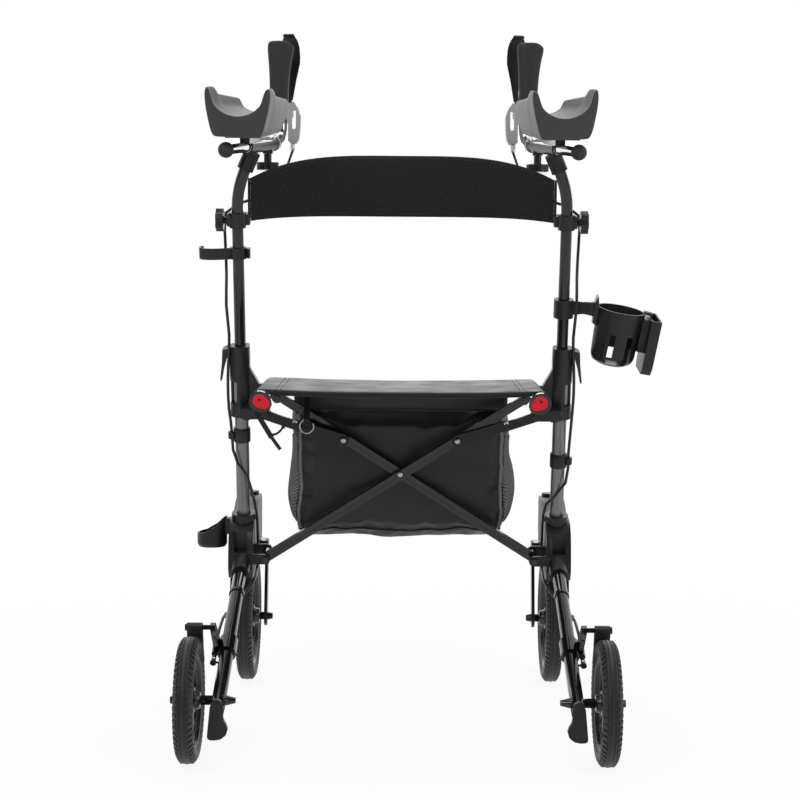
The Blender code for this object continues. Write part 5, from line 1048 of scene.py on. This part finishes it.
def pad_mesh(side):
    """Trough-shaped pad: narrow flat base, flared sides and a round hollow between two lips."""
    at = pad_frame(side)
    rings = []
    steps = (0.0, 0.006, 0.022, 0.06, 0.13, 0.19, 0.235, 0.285, 0.335, 0.38, 0.46, 0.57, 0.68, 0.80,
             0.90, 0.95, 0.978, 0.994, 1.0)
    for t in steps:
        end = min(t, 1 - t)
        edge = 1 - PAD_EDGE * math.exp(-end * 120)
        width = mix(PAD_WIDTH, PAD_FRONT_WIDTH, t) / 2 * edge
        lip = pad_lip(t)
        floor = PAD_FLOOR + 0.0022 * math.sin(math.pi * t)
        right = [(a * width, b + c * lip) for a, b, c in PAD_HALF]
        for a in PAD_TROUGH:
            rise = 1 - math.sqrt(1 - (a / 0.90) ** 2)
            right.append((a * width, floor + (lip - floor) * min(1.0, rise * 1.02)))
        left = [(-a, b) for a, b in reversed(right[1:])]
        ring = right + [(0.0, floor)] + left
        sink, squeeze = (1 - edge) * 0.018, 1 - (1 - edge) * 0.8
        rings.append([at @ Vector((a, t * PAD_LENGTH, sink + b * squeeze)) for a, b in ring])
    bm = loft(rings, capped=False)
    bm.verts.ensure_lookup_table()
    count = len(rings[0])
    ends = [[bm.verts[start + k] for k in range(count)] for start in (0, (len(rings) - 1) * count)]
    for ring in ends:
        trough_cap(bm, ring, PAD_TOP)
    return bm


def trough_cap(bm, ring, top):
    """Closes a trough's end ring between its outer side and its hollow, from the middle up."""
    count = len(ring)
    half = count // 2
    faces = []
    for mirrored in (False, True):
        outer, inner = 0, half
        while inner - outer > 1:
            if outer / top > (half - inner) / (half - top):
                corners = (outer, inner, inner - 1)
                inner -= 1
            else:
                corners = (outer, inner, outer + 1)
                outer += 1
            if mirrored:
                corners = [(count - k) % count for k in corners]
            faces.append(bm.faces.new([ring[k] for k in corners]))
    bmesh.ops.join_triangles(bm, faces=faces, angle_face_threshold=3.0, angle_shape_threshold=3.0)


class OBJECT_OT_rollator_pads(bpy.types.Operator):
    """Soft forearm troughs"""

    bl_idname = "object.rollator_pads"
    bl_label = "Forearm pads"

    def execute(self, context):
        for side_name, side in SIDES:
            pad = add_piece(f"forearm_pad_{side_name}", pad_mesh(side), "foam", 80.0)
            smooth_surface(pad, 2)
            settle(pad, f"post_{side_name}", "pad_foam", f"arm_pad_{side_name}")
        return {"FINISHED"}


# Sideways place of each grip's rubber on its bar
GRIP_SET = {-1: -0.0054, 1: 0.0066}
GRIP_FOOT = 1.022
GRIP_CROWN = 1.126
GRIP_WIDTHS = (0.0325, 0.0460)
GRIP_DEPTH = 0.033


def grip_mesh(side):
    """Upright grip that flares to the top, with finger swells at the front and a flat crown."""
    rings = []
    rows = (0.0, 0.004, 0.02, 0.06, 0.14, 0.22, 0.30, 0.38, 0.46, 0.54, 0.62, 0.70, 0.78, 0.86, 0.93,
            0.965, 0.985, 0.997, 1.0)
    for t in rows:
        end = math.exp(-t * 90) * 0.12 + math.exp(-(1 - t) * 60) * 0.24
        size = (0.985 + 0.012 * math.cos(math.tau * t)) * (1 - end)
        width = mix(*GRIP_WIDTHS, min(1.0, t * 1.15) ** 2) / 2 * size
        depth = GRIP_DEPTH / 2 * size
        x = side * GRIP_X + GRIP_SET[side] + 0.0035 * t * t
        z = mix(GRIP_FOOT, GRIP_CROWN, t)
        ring = []
        for c, s in around(28):
            swell = 1 + (0.02 * math.cos(math.tau * t * 4) if s > 0.3 else 0.0)
            ring.append((x + power(c, 0.8) * width, GRIP_Y + power(s, 0.8) * depth * swell,
                         z - 0.007 * max(0.0, c) ** 3 * t ** 9))
        rings.append(ring)
    return loft(rings)


class OBJECT_OT_rollator_grips(bpy.types.Operator):
    """Rubber hand grips"""

    bl_idname = "object.rollator_grips"
    bl_label = "Hand grips"

    def execute(self, context):
        for side_name, side in SIDES:
            grip = add_piece(f"upright_grip_{side_name}", grip_mesh(side), "grip", 50.0)
            smooth_surface(grip, 1)
            settle(grip, f"arm_bar_{side_name}", "grip_rubber", f"hand_grip_{side_name}")
        return {"FINISHED"}


# Seat, backrest and bag

RAIL_X = 0.2145
RAIL_Z = 0.545
RAIL_REACH = 0.0109
SEAT_SKIN = 0.0035
SEAT_THICKNESS = 0.0065
SEAT_REAR = 0.0925
SEAT_FRONT = 0.340
SEAT_STEPS = 30
HEM_HALF = 0.203
HEM_RADIUS = 0.0040


def seat_point(x, y, sag):
    """Top surface of the seat between its rails."""
    t = 1 - min(1.0, abs(x) / RAIL_X)
    drop = sag * (1 - (1 - t) ** 2.2)
    ripple = noise.noise(Vector((x * 9, y * 14, 0.3))) * 0.0009 * min(1.0, t * 4)
    return RAIL_Z + RAIL_REACH + SEAT_SKIN - drop + ripple


def seat_mesh(sag):
    """Sling over both rails and round their outsides, as rings from the rear to the front."""
    rings = []
    rows = [0.0, 0.010, 0.03, 0.06] + [0.06 + 0.88 * k / 16 for k in range(1, 16)]
    for v in rows + [0.94, 0.97, 0.99, 1.0]:
        y = mix(SEAT_REAR, SEAT_FRONT, v)
        end = math.exp(-min(v, 1 - v) * 110)
        top, bottom = [], []
        for k in range(12):
            turn = math.radians(-40 + 130 * k / 12)
            for line, r in ((top, RAIL_REACH + SEAT_SKIN * (1 - end * 0.4)), (bottom, RAIL_REACH)):
                line.append((RAIL_X + math.cos(turn) * r, RAIL_Z + math.sin(turn) * r))
        for k in range(SEAT_STEPS + 1):
            t = k / SEAT_STEPS
            x = RAIL_X * (1 - t)
            surface = seat_point(x, y, sag) - end * 0.0012
            thick = mix(SEAT_SKIN, SEAT_THICKNESS * (1 - end * 0.35), min(1.0, t * 2.5))
            top.append((x, surface))
            bottom.append((x, surface - thick))
        left = [(-a, b) for a, b in reversed(top[:-1])]
        under_left = [(-a, b) for a, b in bottom]
        rings.append([(a, y, b) for a, b in top + left + under_left + bottom[-2::-1]])
    return loft(rings)


def seat_seams(sag):
    """Paths of the stitches: two lines beside each rail, then one along each edge."""
    def on_seat(x, y, lift):
        return (x, y, seat_point(x, y, sag) + lift)
    seams = []
    for side in (-1, 1):
        for inset in (0.022, 0.030):
            seams.append([on_seat(side * (RAIL_X - inset), SEAT_REAR + 0.004 + k * 0.006, 0.0001)
                          for k in range(41)])
    for y in (SEAT_REAR + 0.0075, SEAT_FRONT - 0.0075):
        seams.append([on_seat(x / 1000, y, -0.0003) for x in range(-180, 181, 10)])
    return seams


def hem_mesh(y, sag):
    """Rolled binding along one edge of the seat, from rail to rail."""
    path = []
    for k in range(41):
        x = mix(-HEM_HALF, HEM_HALF, k / 40)
        path.append((x, y, seat_point(x, y, sag) - 0.0054))
    return sweep(path, HEM_RADIUS, 14, [0.6] + [1.0] * 39 + [0.6])


class OBJECT_OT_rollator_seat(bpy.types.Operator):
    """Sling seat with its bound edges and stitch lines"""

    bl_idname = "object.rollator_seat"
    bl_label = "Seat"

    def execute(self, context):
        soft = context.scene.rollator_soft
        seat = add_piece("seat_cover", seat_mesh(soft.seat_sag), "vinyl", 60.0)
        settle(seat, "seat_rail_right", "seat_vinyl", "seat_sling")
        folded = [seat]
        for label, y in (("rear", SEAT_REAR + 0.0010), ("front", SEAT_FRONT - 0.0010)):
            hem = add_piece(f"seat_hem_{label}", hem_mesh(y, soft.seat_sag), "hem", 80.0)
            folded.append(settle(hem, "seat_rail_right", "seat_vinyl"))
        for i, seam in enumerate(seat_seams(soft.seat_sag)):
            row = stitches(f"seat_stitches_{i + 1}", seam, soft.stitch, 0.0012, 0.00045)
            folded.append(settle(row, "seat_rail_right", "seat_vinyl"))
        for piece in folded:
            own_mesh(piece)
        return {"FINISHED"}


BAND_HALF = 0.2495
BAND_BOW = 0.075
BAND_SEAM = 0.0055


def band_section(t):
    """Depth, half thickness, tilt, top and bottom of the band at t, -1 at the left to 1."""
    bow = 1 - t * t
    top = 0.8890 + 0.0420 * (1 - abs(t) ** 3.5)
    bottom = 0.8190 + 0.0095 * (1 - abs(t) ** 4.4)
    y = lean(0, 0.0225, 0.873).y + BAND_BOW * bow
    return y, mix(0.008, 0.012, bow) / 2, -0.0081 * (1 - bow), top, bottom


def band_ring(t):
    y, thick, tilt, top, bottom = band_section(t)
    middle, tall = (top + bottom) / 2, (top - bottom) / 2
    ring = []
    for c, s in around(32):
        rise = power(s, 0.35)
        near = power(c, 0.75) * (0.90 if abs(rise) > 0.86 else 1.0)
        ring.append((t * BAND_HALF, y + near * thick + tilt * rise, middle + rise * tall))
    return ring


def band_edge(t, high, out):
    """A point of the seam near the band's top or bottom edge, out towards the rear or front."""
    y, thick, tilt, top, bottom = band_section(t)
    z = top - BAND_SEAM if high else bottom + BAND_SEAM
    return Vector((t * BAND_HALF, y - thick * out + (tilt if high else -tilt), z))


class OBJECT_OT_rollator_backrest(bpy.types.Operator):
    """Padded mesh band of the backrest with its stitched edges"""

    bl_idname = "object.rollator_backrest"
    bl_label = "Backrest band"

    def execute(self, context):
        soft = context.scene.rollator_soft
        band = add_piece("backrest_band", loft([band_ring(-1 + k / 32) for k in range(65)]),
                         "band", 60.0)
        map_cloth(band, lambda co: co.x, lambda co: co.z)
        settle(band, "post_left", "mesh_fabric", "backrest_strap")
        folded = [band]
        for high, label in ((True, "top"), (False, "bottom")):
            for out, face in ((1.0, "rear"), (-1.0, "front")):
                path = [band_edge(-0.97 + k * 0.0388, high, out) for k in range(51)]
                row = stitches(f"band_{label}_{face}_stitches", path, soft.stitch, 0.0014, 0.0005,
                               AXIS_Y)
                folded.append(settle(row, "post_left", "mesh_fabric"))
        for piece in folded:
            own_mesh(piece)
        return {"FINISHED"}


BAG_BOTTOM = 0.2775
BAG_TOP = 0.512
BAG_MIDDLE = 0.0002
BAG_HALF = 0.1805
BAG_DEPTH_HALF = 0.065
BAG_REAR = (0.404, 0.350)
BAG_CORNER = 0.014
BAG_SKIRT = 0.0085
FLAP_FALL = ((0.3345, 0.5480), (0.3370, 0.5420), (0.3405, 0.5340), (0.3440, 0.5260),
             (0.3475, 0.5180), (0.3515, 0.5100), (0.3560, 0.5020))
PIPING_PLACES = (("rear_left", 0.8150), ("rear_right", 0.1850), ("front_left", 0.6850),
                 ("front_right", 0.3150))
POCKET_WRAP = 0.112
POCKET_BELLY = 0.0105
TAB_X = -0.156
TAB_HALF = 0.0052
TAB_FALL = ((0.3070, 0.4880), (0.3072, 0.4925), (0.3115, 0.5000), (0.3190, 0.5130),
            (0.3270, 0.5270), (0.3345, 0.5400), (0.3352, 0.5470))
RING_CENTRE = Vector((TAB_X, 0.3085, 0.4795))
RING_REACH = 0.0115
# Share of the bag's full width at each share of its height
BAG_ROWS = ((0.0, 0.93), (0.03, 0.972), (0.12, 1.0), (0.80, 1.0), (0.97, 0.99), (1.0, 0.965))


def bag_size(t):
    for (t0, s0), (t1, s1) in zip(BAG_ROWS, BAG_ROWS[1:]):
        if t <= t1:
            return mix(s0, s1, (t - t0) / (t1 - t0))
    return BAG_ROWS[-1][1]


def bag_point(t, share, out=0.0):
    """A point at height t and a share of the way round, from the middle of the rear panel."""
    size, r = bag_size(t), BAG_CORNER
    a, b = BAG_HALF * size - r, BAG_DEPTH_HALF * size - r
    outline = [Vector((0.0, -(b + r + out)))]
    for x, y, start in ((a, -b, -90), (a, b, 0), (-a, b, 90), (-a, -b, 180)):
        for k in range(7):
            turn = math.radians(start + 15 * k)
            outline.append(Vector((x + (r + out) * math.cos(turn), y + (r + out) * math.sin(turn))))
    outline.append(outline[0])
    steps = [(q - p).length for p, q in zip(outline, outline[1:])]
    left = (share % 1.0) * sum(steps)
    for p, q, step in zip(outline, outline[1:], steps):
        if left <= step:
            break
        left -= step
    spot = p.lerp(q, left / step)
    z = mix(BAG_BOTTOM, BAG_TOP, t) + BAG_SKIRT * (spot.x / BAG_HALF) ** 2 * (1 - t) ** 2
    return Vector((BAG_MIDDLE + spot.x, mix(*BAG_REAR, t) + BAG_DEPTH_HALF + spot.y, z))


def bag_mesh():
    rings = [[bag_point(t, k / 96, -0.003) for k in range(96)]
             for t in (0.0, 0.012, 0.03, 0.08, 0.15, 0.25, 0.35, 0.45, 0.55, 0.65, 0.75, 0.85, 0.93,
                       0.97, 0.99, 1.0)]
    return loft(rings)


def flap_grid():
    """Rows of points of the flap that falls from the seat to the bag, with slack waves."""
    grid = []
    for j, (y, z) in enumerate(FLAP_FALL):
        row = []
        for i in range(49):
            x = BAG_MIDDLE + mix(-BAG_HALF, BAG_HALF, i / 48) * 0.995
            wave = noise.noise(Vector((x * 26 + z * 9, 1.7, z * 14))) * 0.0030
            row.append((x, y - wave * math.sin(math.pi * j / 6), z))
        grid.append(row)
    return grid


def pocket_grid(side, on_bag):
    """Rows of points of a side pocket: flat on the bag at its edges, with a belly between."""
    middle = 0.25 if side > 0 else 0.75
    grid = []
    for j in range(25):
        row = []
        for i in range(17):
            belly = math.sin(math.pi * i / 16) ** 0.6 * math.sin(math.pi * min(1, j / 20 + 0.08))
            if j in (0, 24):
                belly = 0.0
            row.append(on_bag(0.08 + 0.68 * j / 24, middle + (i / 16 - 0.5) * POCKET_WRAP,
                              0.0016 + POCKET_BELLY * max(0.0, belly)))
        grid.append(row)
    return grid


def tab_grid():
    return [[(TAB_X + mix(-TAB_HALF, TAB_HALF, i / 4), y, z) for i in range(5)] for y, z in TAB_FALL]


def ring_mesh():
    """Open wire ring that hangs from the tab."""
    path = []
    for k in range(41):
        turn = math.radians(100 + 285 * k / 40)
        path.append(RING_CENTRE + Vector((math.cos(turn), 0, math.sin(turn))) * RING_REACH)
    return sweep(path, 0.0013, 10)


def grid_size(grid):
    """Mean width and length of a sheet given as rows of points."""
    def run(line):
        return sum((Vector(b) - Vector(a)).length for a, b in zip(line, line[1:]))
    columns = [list(column) for column in zip(*grid)]
    return (sum(map(run, grid)) / len(grid), sum(map(run, columns)) / len(columns))


def cloth_sheet(name, grid, finish, thickness):
    """A thin sheet of cloth on a grid of points; the size that it was cut to is worked out but not
    kept.
    """
    piece = add_piece(name, loft(grid, closed=False, capped=False), finish, 80.0)
    wall = piece.modifiers.new("wall", "SOLIDIFY")
    wall.thickness = thickness
    wall.offset = 0.0
    applied(piece)
    grid_size(grid)
    return piece


CLOTH_FRAMES = 20


def simulate(piece, cap, pressure):
    """Lets closed cloth swell and wrinkle a little, each point moving at most cap."""
    rest = [v.co.copy() for v in piece.data.vertices]
    cloth = piece.modifiers.new("cloth", "CLOTH")
    cloth.settings.use_pressure = True
    cloth.settings.uniform_pressure_force = pressure
    cloth.settings.effector_weights.gravity = 0.0
    cloth.settings.tension_stiffness = 30.0
    cloth.settings.bending_stiffness = 0.4
    cloth.settings.shrink_min = -0.03
    cloth.collision_settings.use_self_collision = False
    cloth.point_cache.frame_start = 1
    cloth.point_cache.frame_end = CLOTH_FRAMES
    for number in range(1, CLOTH_FRAMES + 1):
        bpy.context.scene.frame_set(number)
    applied(piece)
    bpy.context.scene.frame_set(1)
    for vertex, start in zip(piece.data.vertices, rest):
        move = vertex.co - start
        if move.length > cap:
            vertex.co = start + move.normalized() * cap
    return piece


def remeshed(piece, size):
    """Gives a piece even faces of about the given size, so that it folds alike everywhere."""
    grid = piece.modifiers.new("grid", "REMESH")
    grid.mode = "VOXEL"
    grid.voxel_size = size
    return applied(piece)


def crease(piece, strength):
    """Long slack folds of thin cloth, as gentle moves along the normals."""
    for vertex in piece.data.vertices:
        co = vertex.co
        fold = noise.noise(Vector((co.x * 7 + co.z * 9, co.y * 8, co.z * 13 - co.x * 5)))
        fine = noise.noise(Vector((co.x * 22 - co.z * 14, co.y * 20, co.z * 30)))
        vertex.co = co + vertex.normal * strength * (fold + 0.35 * fine)
    return piece


class OBJECT_OT_rollator_bag(bpy.types.Operator):
    """Storage bag with piped corners, mesh side pockets, flap, tab and ring"""

    bl_idname = "object.rollator_bag"
    bl_label = "Bag"

    def execute(self, context):
        soft = context.scene.rollator_soft
        bag = add_piece("bag_shell", bag_mesh(), "cloth", 80.0)
        remeshed(bag, 0.006)
        simulate(bag, soft.bag_bulge, 3.0)
        crease(bag, 0.0046)
        bag.data.shade_smooth()
        smooth_surface(bag, 1)
        skin = surface_of(bag.data)

        def on_bag(t, share, lift):
            spot, normal, _, _ = skin.find_nearest(bag_point(t, share, 0.002) + ORIGIN)
            return spot + normal * lift - ORIGIN

        folded = [settle(bag, "seat_rail_right", "mesh_fabric", "bag")]

        def sewn_on(piece, slot="mesh_fabric"):
            folded.append(settle(piece, "seat_rail_right", slot))

        sewn_on(cloth_sheet("bag_hanging_flap", flap_grid(), "cloth", 0.0012))
        for label, share in PIPING_PLACES:
            path = [on_bag(0.03 + 0.95 * k / 30, share, 0.0010) for k in range(31)]
            sewn_on(add_piece(f"bag_piping_{label}", sweep(path, 0.0034, 12), "piping", 80.0))
        path = [on_bag(0.020, k / 120, 0.0004) for k in range(121)]
        sewn_on(add_piece("bag_piping_bottom", sweep(path, 0.0020, 8), "cloth", 80.0))
        for side_name, side in SIDES:
            pocket = cloth_sheet(f"bag_side_pocket_{side_name}", pocket_grid(side, on_bag), "pocket",
                                 0.0009)
            map_cloth(pocket, lambda co: co.y, lambda co: co.z)
            sewn_on(pocket)
        sewn_on(cloth_sheet("bag_ring_tab", tab_grid(), "webbing", 0.0013))
        sewn_on(add_piece("bag_pull_ring", ring_mesh(), "steel", 80.0), "chrome")
        for piece in folded:
            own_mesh(piece)
        return {"FINISHED"}


# Reflectors and small hardware

# Name, solids, sideways place and height of each pale rivet of the fold
BRACE_RIVETS = (
    ("centre", ("cross_bar_a", "cross_bar_b"), 0.0, 0.3958),
    ("upper_left", ("cross_bar_b", "lock_arm_left"), -0.0952, 0.4550),
    ("upper_right", ("cross_bar_a", "lock_arm_right"), 0.0952, 0.4550),
    ("link_left", ("lock_link_left", "lock_arm_left"), -0.176, 0.4866),
    ("link_right", ("lock_link_right", "lock_arm_right"), 0.176, 0.4866),
)


def rearmost(nodes, x, z):
    """The place, seen from behind at x and z, of the nearest of some solids, and its name."""
    spots = []
    for node in nodes:
        skin = surface_of(frame["nodes"][node].data)
        spot = skin.ray_cast(ORIGIN + Vector((x, -1.0, z)), AXIS_Y)[0]
        if spot:
            spots.append((spot.y, node, spot - ORIGIN))
    _, node, spot = min(spots)
    return spot, node


class OBJECT_OT_rollator_details(bpy.types.Operator):
    """Reflector lenses with their screws, and the pale rivets of the fold"""

    bl_idname = "object.rollator_details"
    bl_label = "Reflectors and hardware"

    def execute(self, context):
        for side_name, side in SIDES:
            node = f"reflector_{side_name}"
            rail = f"seat_rail_{side_name}"
            settle(dressed(node, "lens", 0.0009, shape=lens_shape(side)), rail, "reflector_red", node)
            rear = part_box(node)[0][1] - ORIGIN.y
            place = facing((side * RAIL_X, rear + 0.0001, RAIL_Z), -AXIS_Y)
            screw = repeated(f"reflector_screw_{side_name}", bolt_unit(0.0022, 0.0010), [place],
                             "plastic")
            settle(screw, rail, "black_plastic")
        for label, nodes, x, z in BRACE_RIVETS:
            spot, node = rearmost(nodes, x, z)
            head = repeated(f"rivet_{label}", bolt_unit(0.0042, 0.0016),
                            [facing(spot + AXIS_Y * 0.0002, -AXIS_Y)], "steel")
            settle(head, body_of_node(node), "chrome")
        return {"FINISHED"}


# Stage and camera

CAMERA_PLACE = (0.007, -2.604, 0.782)
CAMERA_PITCH = 5.05
CAMERA_YAW = 0.16
CAMERA_ROLL = 0.44
CAMERA_LENS = 79.2
FLOOR_REACH = 30
LAMP_TARGET = (0, 0.25, 0.6)
# Name, place, power and size of each lamp
LAMPS = (("key", (-1.6, -2.2, 2.6), 42, 1.6), ("fill", (2.2, -1.4, 1.8), 26, 1.8),
         ("top", (0.0, 0.6, 3.0), 30, 2.0), ("back", (0.0, 3.0, 1.6), 20, 2.0))


def seen_by(tree, *kinds):
    """A mask that is 1 for rays of the named kinds."""
    path = tree.nodes.new("ShaderNodeLightPath").outputs
    mask = path[kinds[0]]
    for kind in kinds[1:]:
        mask = maths(tree, "MAXIMUM", mask, path[kind])
    return mask


def blended(tree, share, first, second):
    """The result of a Mix Shader node."""
    node = tree.nodes.new("ShaderNodeMixShader")
    for socket, value in zip(node.inputs, (share, first, second)):
        tree.links.new(value, socket)
    return node.outputs[0]


def floor_finish():
    """Pale floor that keeps the object's shadow and fades to plain white further out."""
    pale = bpy.data.materials.new("pale_floor")
    pale.use_nodes = True
    tree = pale.node_tree
    shader = filled(tree.nodes["Principled BSDF"], Base_Color=(0.86, 0.86, 0.86, 1), Roughness=0.9,
                    Specular_IOR_Level=0.0)
    white = filled(tree.nodes.new("ShaderNodeEmission"), Strength=1.0)
    reach = tree.nodes.new("ShaderNodeVectorMath")
    reach.operation = "LENGTH"
    tree.links.new(tree.nodes.new("ShaderNodeTexCoord").outputs["Object"], reach.inputs[0])
    fade = ranged(tree, reach.outputs["Value"], 0.5, 1.6, 0.90, 1.0, "SMOOTHSTEP")
    share = maths(tree, "MULTIPLY", seen_by(tree, "Is Camera Ray", "Is Glossy Ray"), fade)
    tree.links.new(blended(tree, share, shader.outputs[0], white.outputs[0]),
                   tree.nodes["Material Output"].inputs["Surface"])
    return pale


def surroundings():
    """White backdrop; reflections see it behind the object and a dim room in front."""
    world = bpy.data.worlds.new("surroundings")
    world.use_nodes = True
    tree = world.node_tree
    tree.nodes.clear()
    n, link = tree.nodes, tree.links.new
    split = n.new("ShaderNodeSeparateXYZ")
    link(n.new("ShaderNodeTexCoord").outputs["Generated"], split.inputs[0])
    plain, room, white = [filled(n.new("ShaderNodeBackground"), Color=(1, 1, 1, 1), Strength=strength)
                          for strength in (0.50, 1.0, 1.0)]
    link(ranged(tree, split.outputs["Y"], -0.55, 0.45, 0.05, 1.0, "SMOOTHSTEP"),
         room.inputs["Strength"])
    shown = blended(tree, seen_by(tree, "Is Glossy Ray"), plain.outputs[0], room.outputs[0])
    shown = blended(tree, seen_by(tree, "Is Camera Ray", "Is Transmission Ray"), shown,
                    white.outputs[0])
    link(shown, n.new("ShaderNodeOutputWorld").inputs["Surface"])
    return world


def floor_piece():
    """Wide flat floor just under the tyres."""
    bm = bmesh.new()
    bmesh.ops.create_grid(bm, x_segments=1, y_segments=1, size=FLOOR_REACH)
    mesh = bpy.data.meshes.new("floor")
    bm.to_mesh(mesh)
    bm.free()
    floor = bpy.data.objects.new("floor", mesh)
    floor.location.z = -0.0002
    mesh.materials.append(floor_finish())
    return floor


def camera_view():
    """The camera at the photograph's place and angle."""
    camera = bpy.data.cameras.new("camera")
    camera.lens = CAMERA_LENS
    view = bpy.data.objects.new("camera", camera)
    view.location = ORIGIN + Vector(CAMERA_PLACE)
    view.rotation_euler = (
        Matrix.Rotation(math.radians(CAMERA_YAW), 3, "Z")
        @ Matrix.Rotation(math.radians(90 - CAMERA_PITCH), 3, "X")
        @ Matrix.Rotation(math.radians(CAMERA_ROLL), 3, "Z")
    ).to_euler()
    return view


def soft_lamp(name, place, energy, size):
    """Square lamp that faces the middle of the object."""
    lamp = bpy.data.lights.new(name, "AREA")
    lamp.energy = energy
    lamp.size = size
    holder = bpy.data.objects.new(name, lamp)
    holder.location = ORIGIN + Vector(place)
    way = Vector(LAMP_TARGET) - Vector(place)
    holder.rotation_euler = way.to_track_quat("-Z", "Y").to_euler()
    return holder


class OBJECT_OT_rollator_stage(bpy.types.Operator):
    """Pale floor, soft lamps, white surroundings and the camera"""

    bl_idname = "object.rollator_stage"
    bl_label = "Stage"

    def execute(self, context):
        scene = context.scene
        scene.view_settings.view_transform = "Standard"
        scene.camera = camera_view()
        scene.collection.objects.link(scene.camera)
        floor = floor_piece()
        scene.collection.objects.link(floor)
        scene.world = surroundings()
        for lamp in LAMPS:
            scene.collection.objects.link(soft_lamp(*lamp))
        return {"FINISHED"}


OPERATORS = (
    OBJECT_OT_rollator_stage,
    OBJECT_OT_rollator_wheels,
    OBJECT_OT_rollator_frame,
    OBJECT_OT_rollator_bars,
    OBJECT_OT_rollator_pads,
    OBJECT_OT_rollator_grips,
    OBJECT_OT_rollator_seat,
    OBJECT_OT_rollator_backrest,
    OBJECT_OT_rollator_bag,
    OBJECT_OT_rollator_details,
)


class VIEW3D_PT_rollator(bpy.types.Panel):
    """Lists the steps that finish the rollator"""

    bl_idname = "VIEW3D_PT_rollator"
    bl_label = "Upright rollator"
    bl_space_type = "VIEW_3D"
    bl_region_type = "UI"
    bl_category = "Rollator"

    def draw(self, context):
        layout = self.layout
        for operator in OPERATORS:
            layout.operator(operator.bl_idname)


GROUP_TYPES = (
    (RollatorWheels, "rollator_wheels"),
    (RollatorSoft, "rollator_soft"),
    (RollatorColours, "rollator_colours"),
)


def register():
    for kind, name in GROUP_TYPES:
        bpy.utils.register_class(kind)
        setattr(bpy.types.Scene, name, bpy.props.PointerProperty(type=kind))
    for kind in (*OPERATORS, VIEW3D_PT_rollator):
        bpy.utils.register_class(kind)


def unregister():
    for kind in (VIEW3D_PT_rollator, *reversed(OPERATORS)):
        bpy.utils.unregister_class(kind)
    for kind, name in reversed(GROUP_TYPES):
        delattr(bpy.types.Scene, name)
        bpy.utils.unregister_class(kind)


def main():
    register()
    build_finishes(bpy.context.scene.rollator_colours)
    bpy.ops.object.rollator_stage()
    bpy.ops.object.rollator_wheels()
    bpy.ops.object.rollator_frame()
    bpy.ops.object.rollator_bars()
    bpy.ops.object.rollator_pads()
    bpy.ops.object.rollator_grips()
    bpy.ops.object.rollator_seat()
    bpy.ops.object.rollator_backrest()
    bpy.ops.object.rollator_bag()
    bpy.ops.object.rollator_details()


if __name__ == "__main__":
    main()
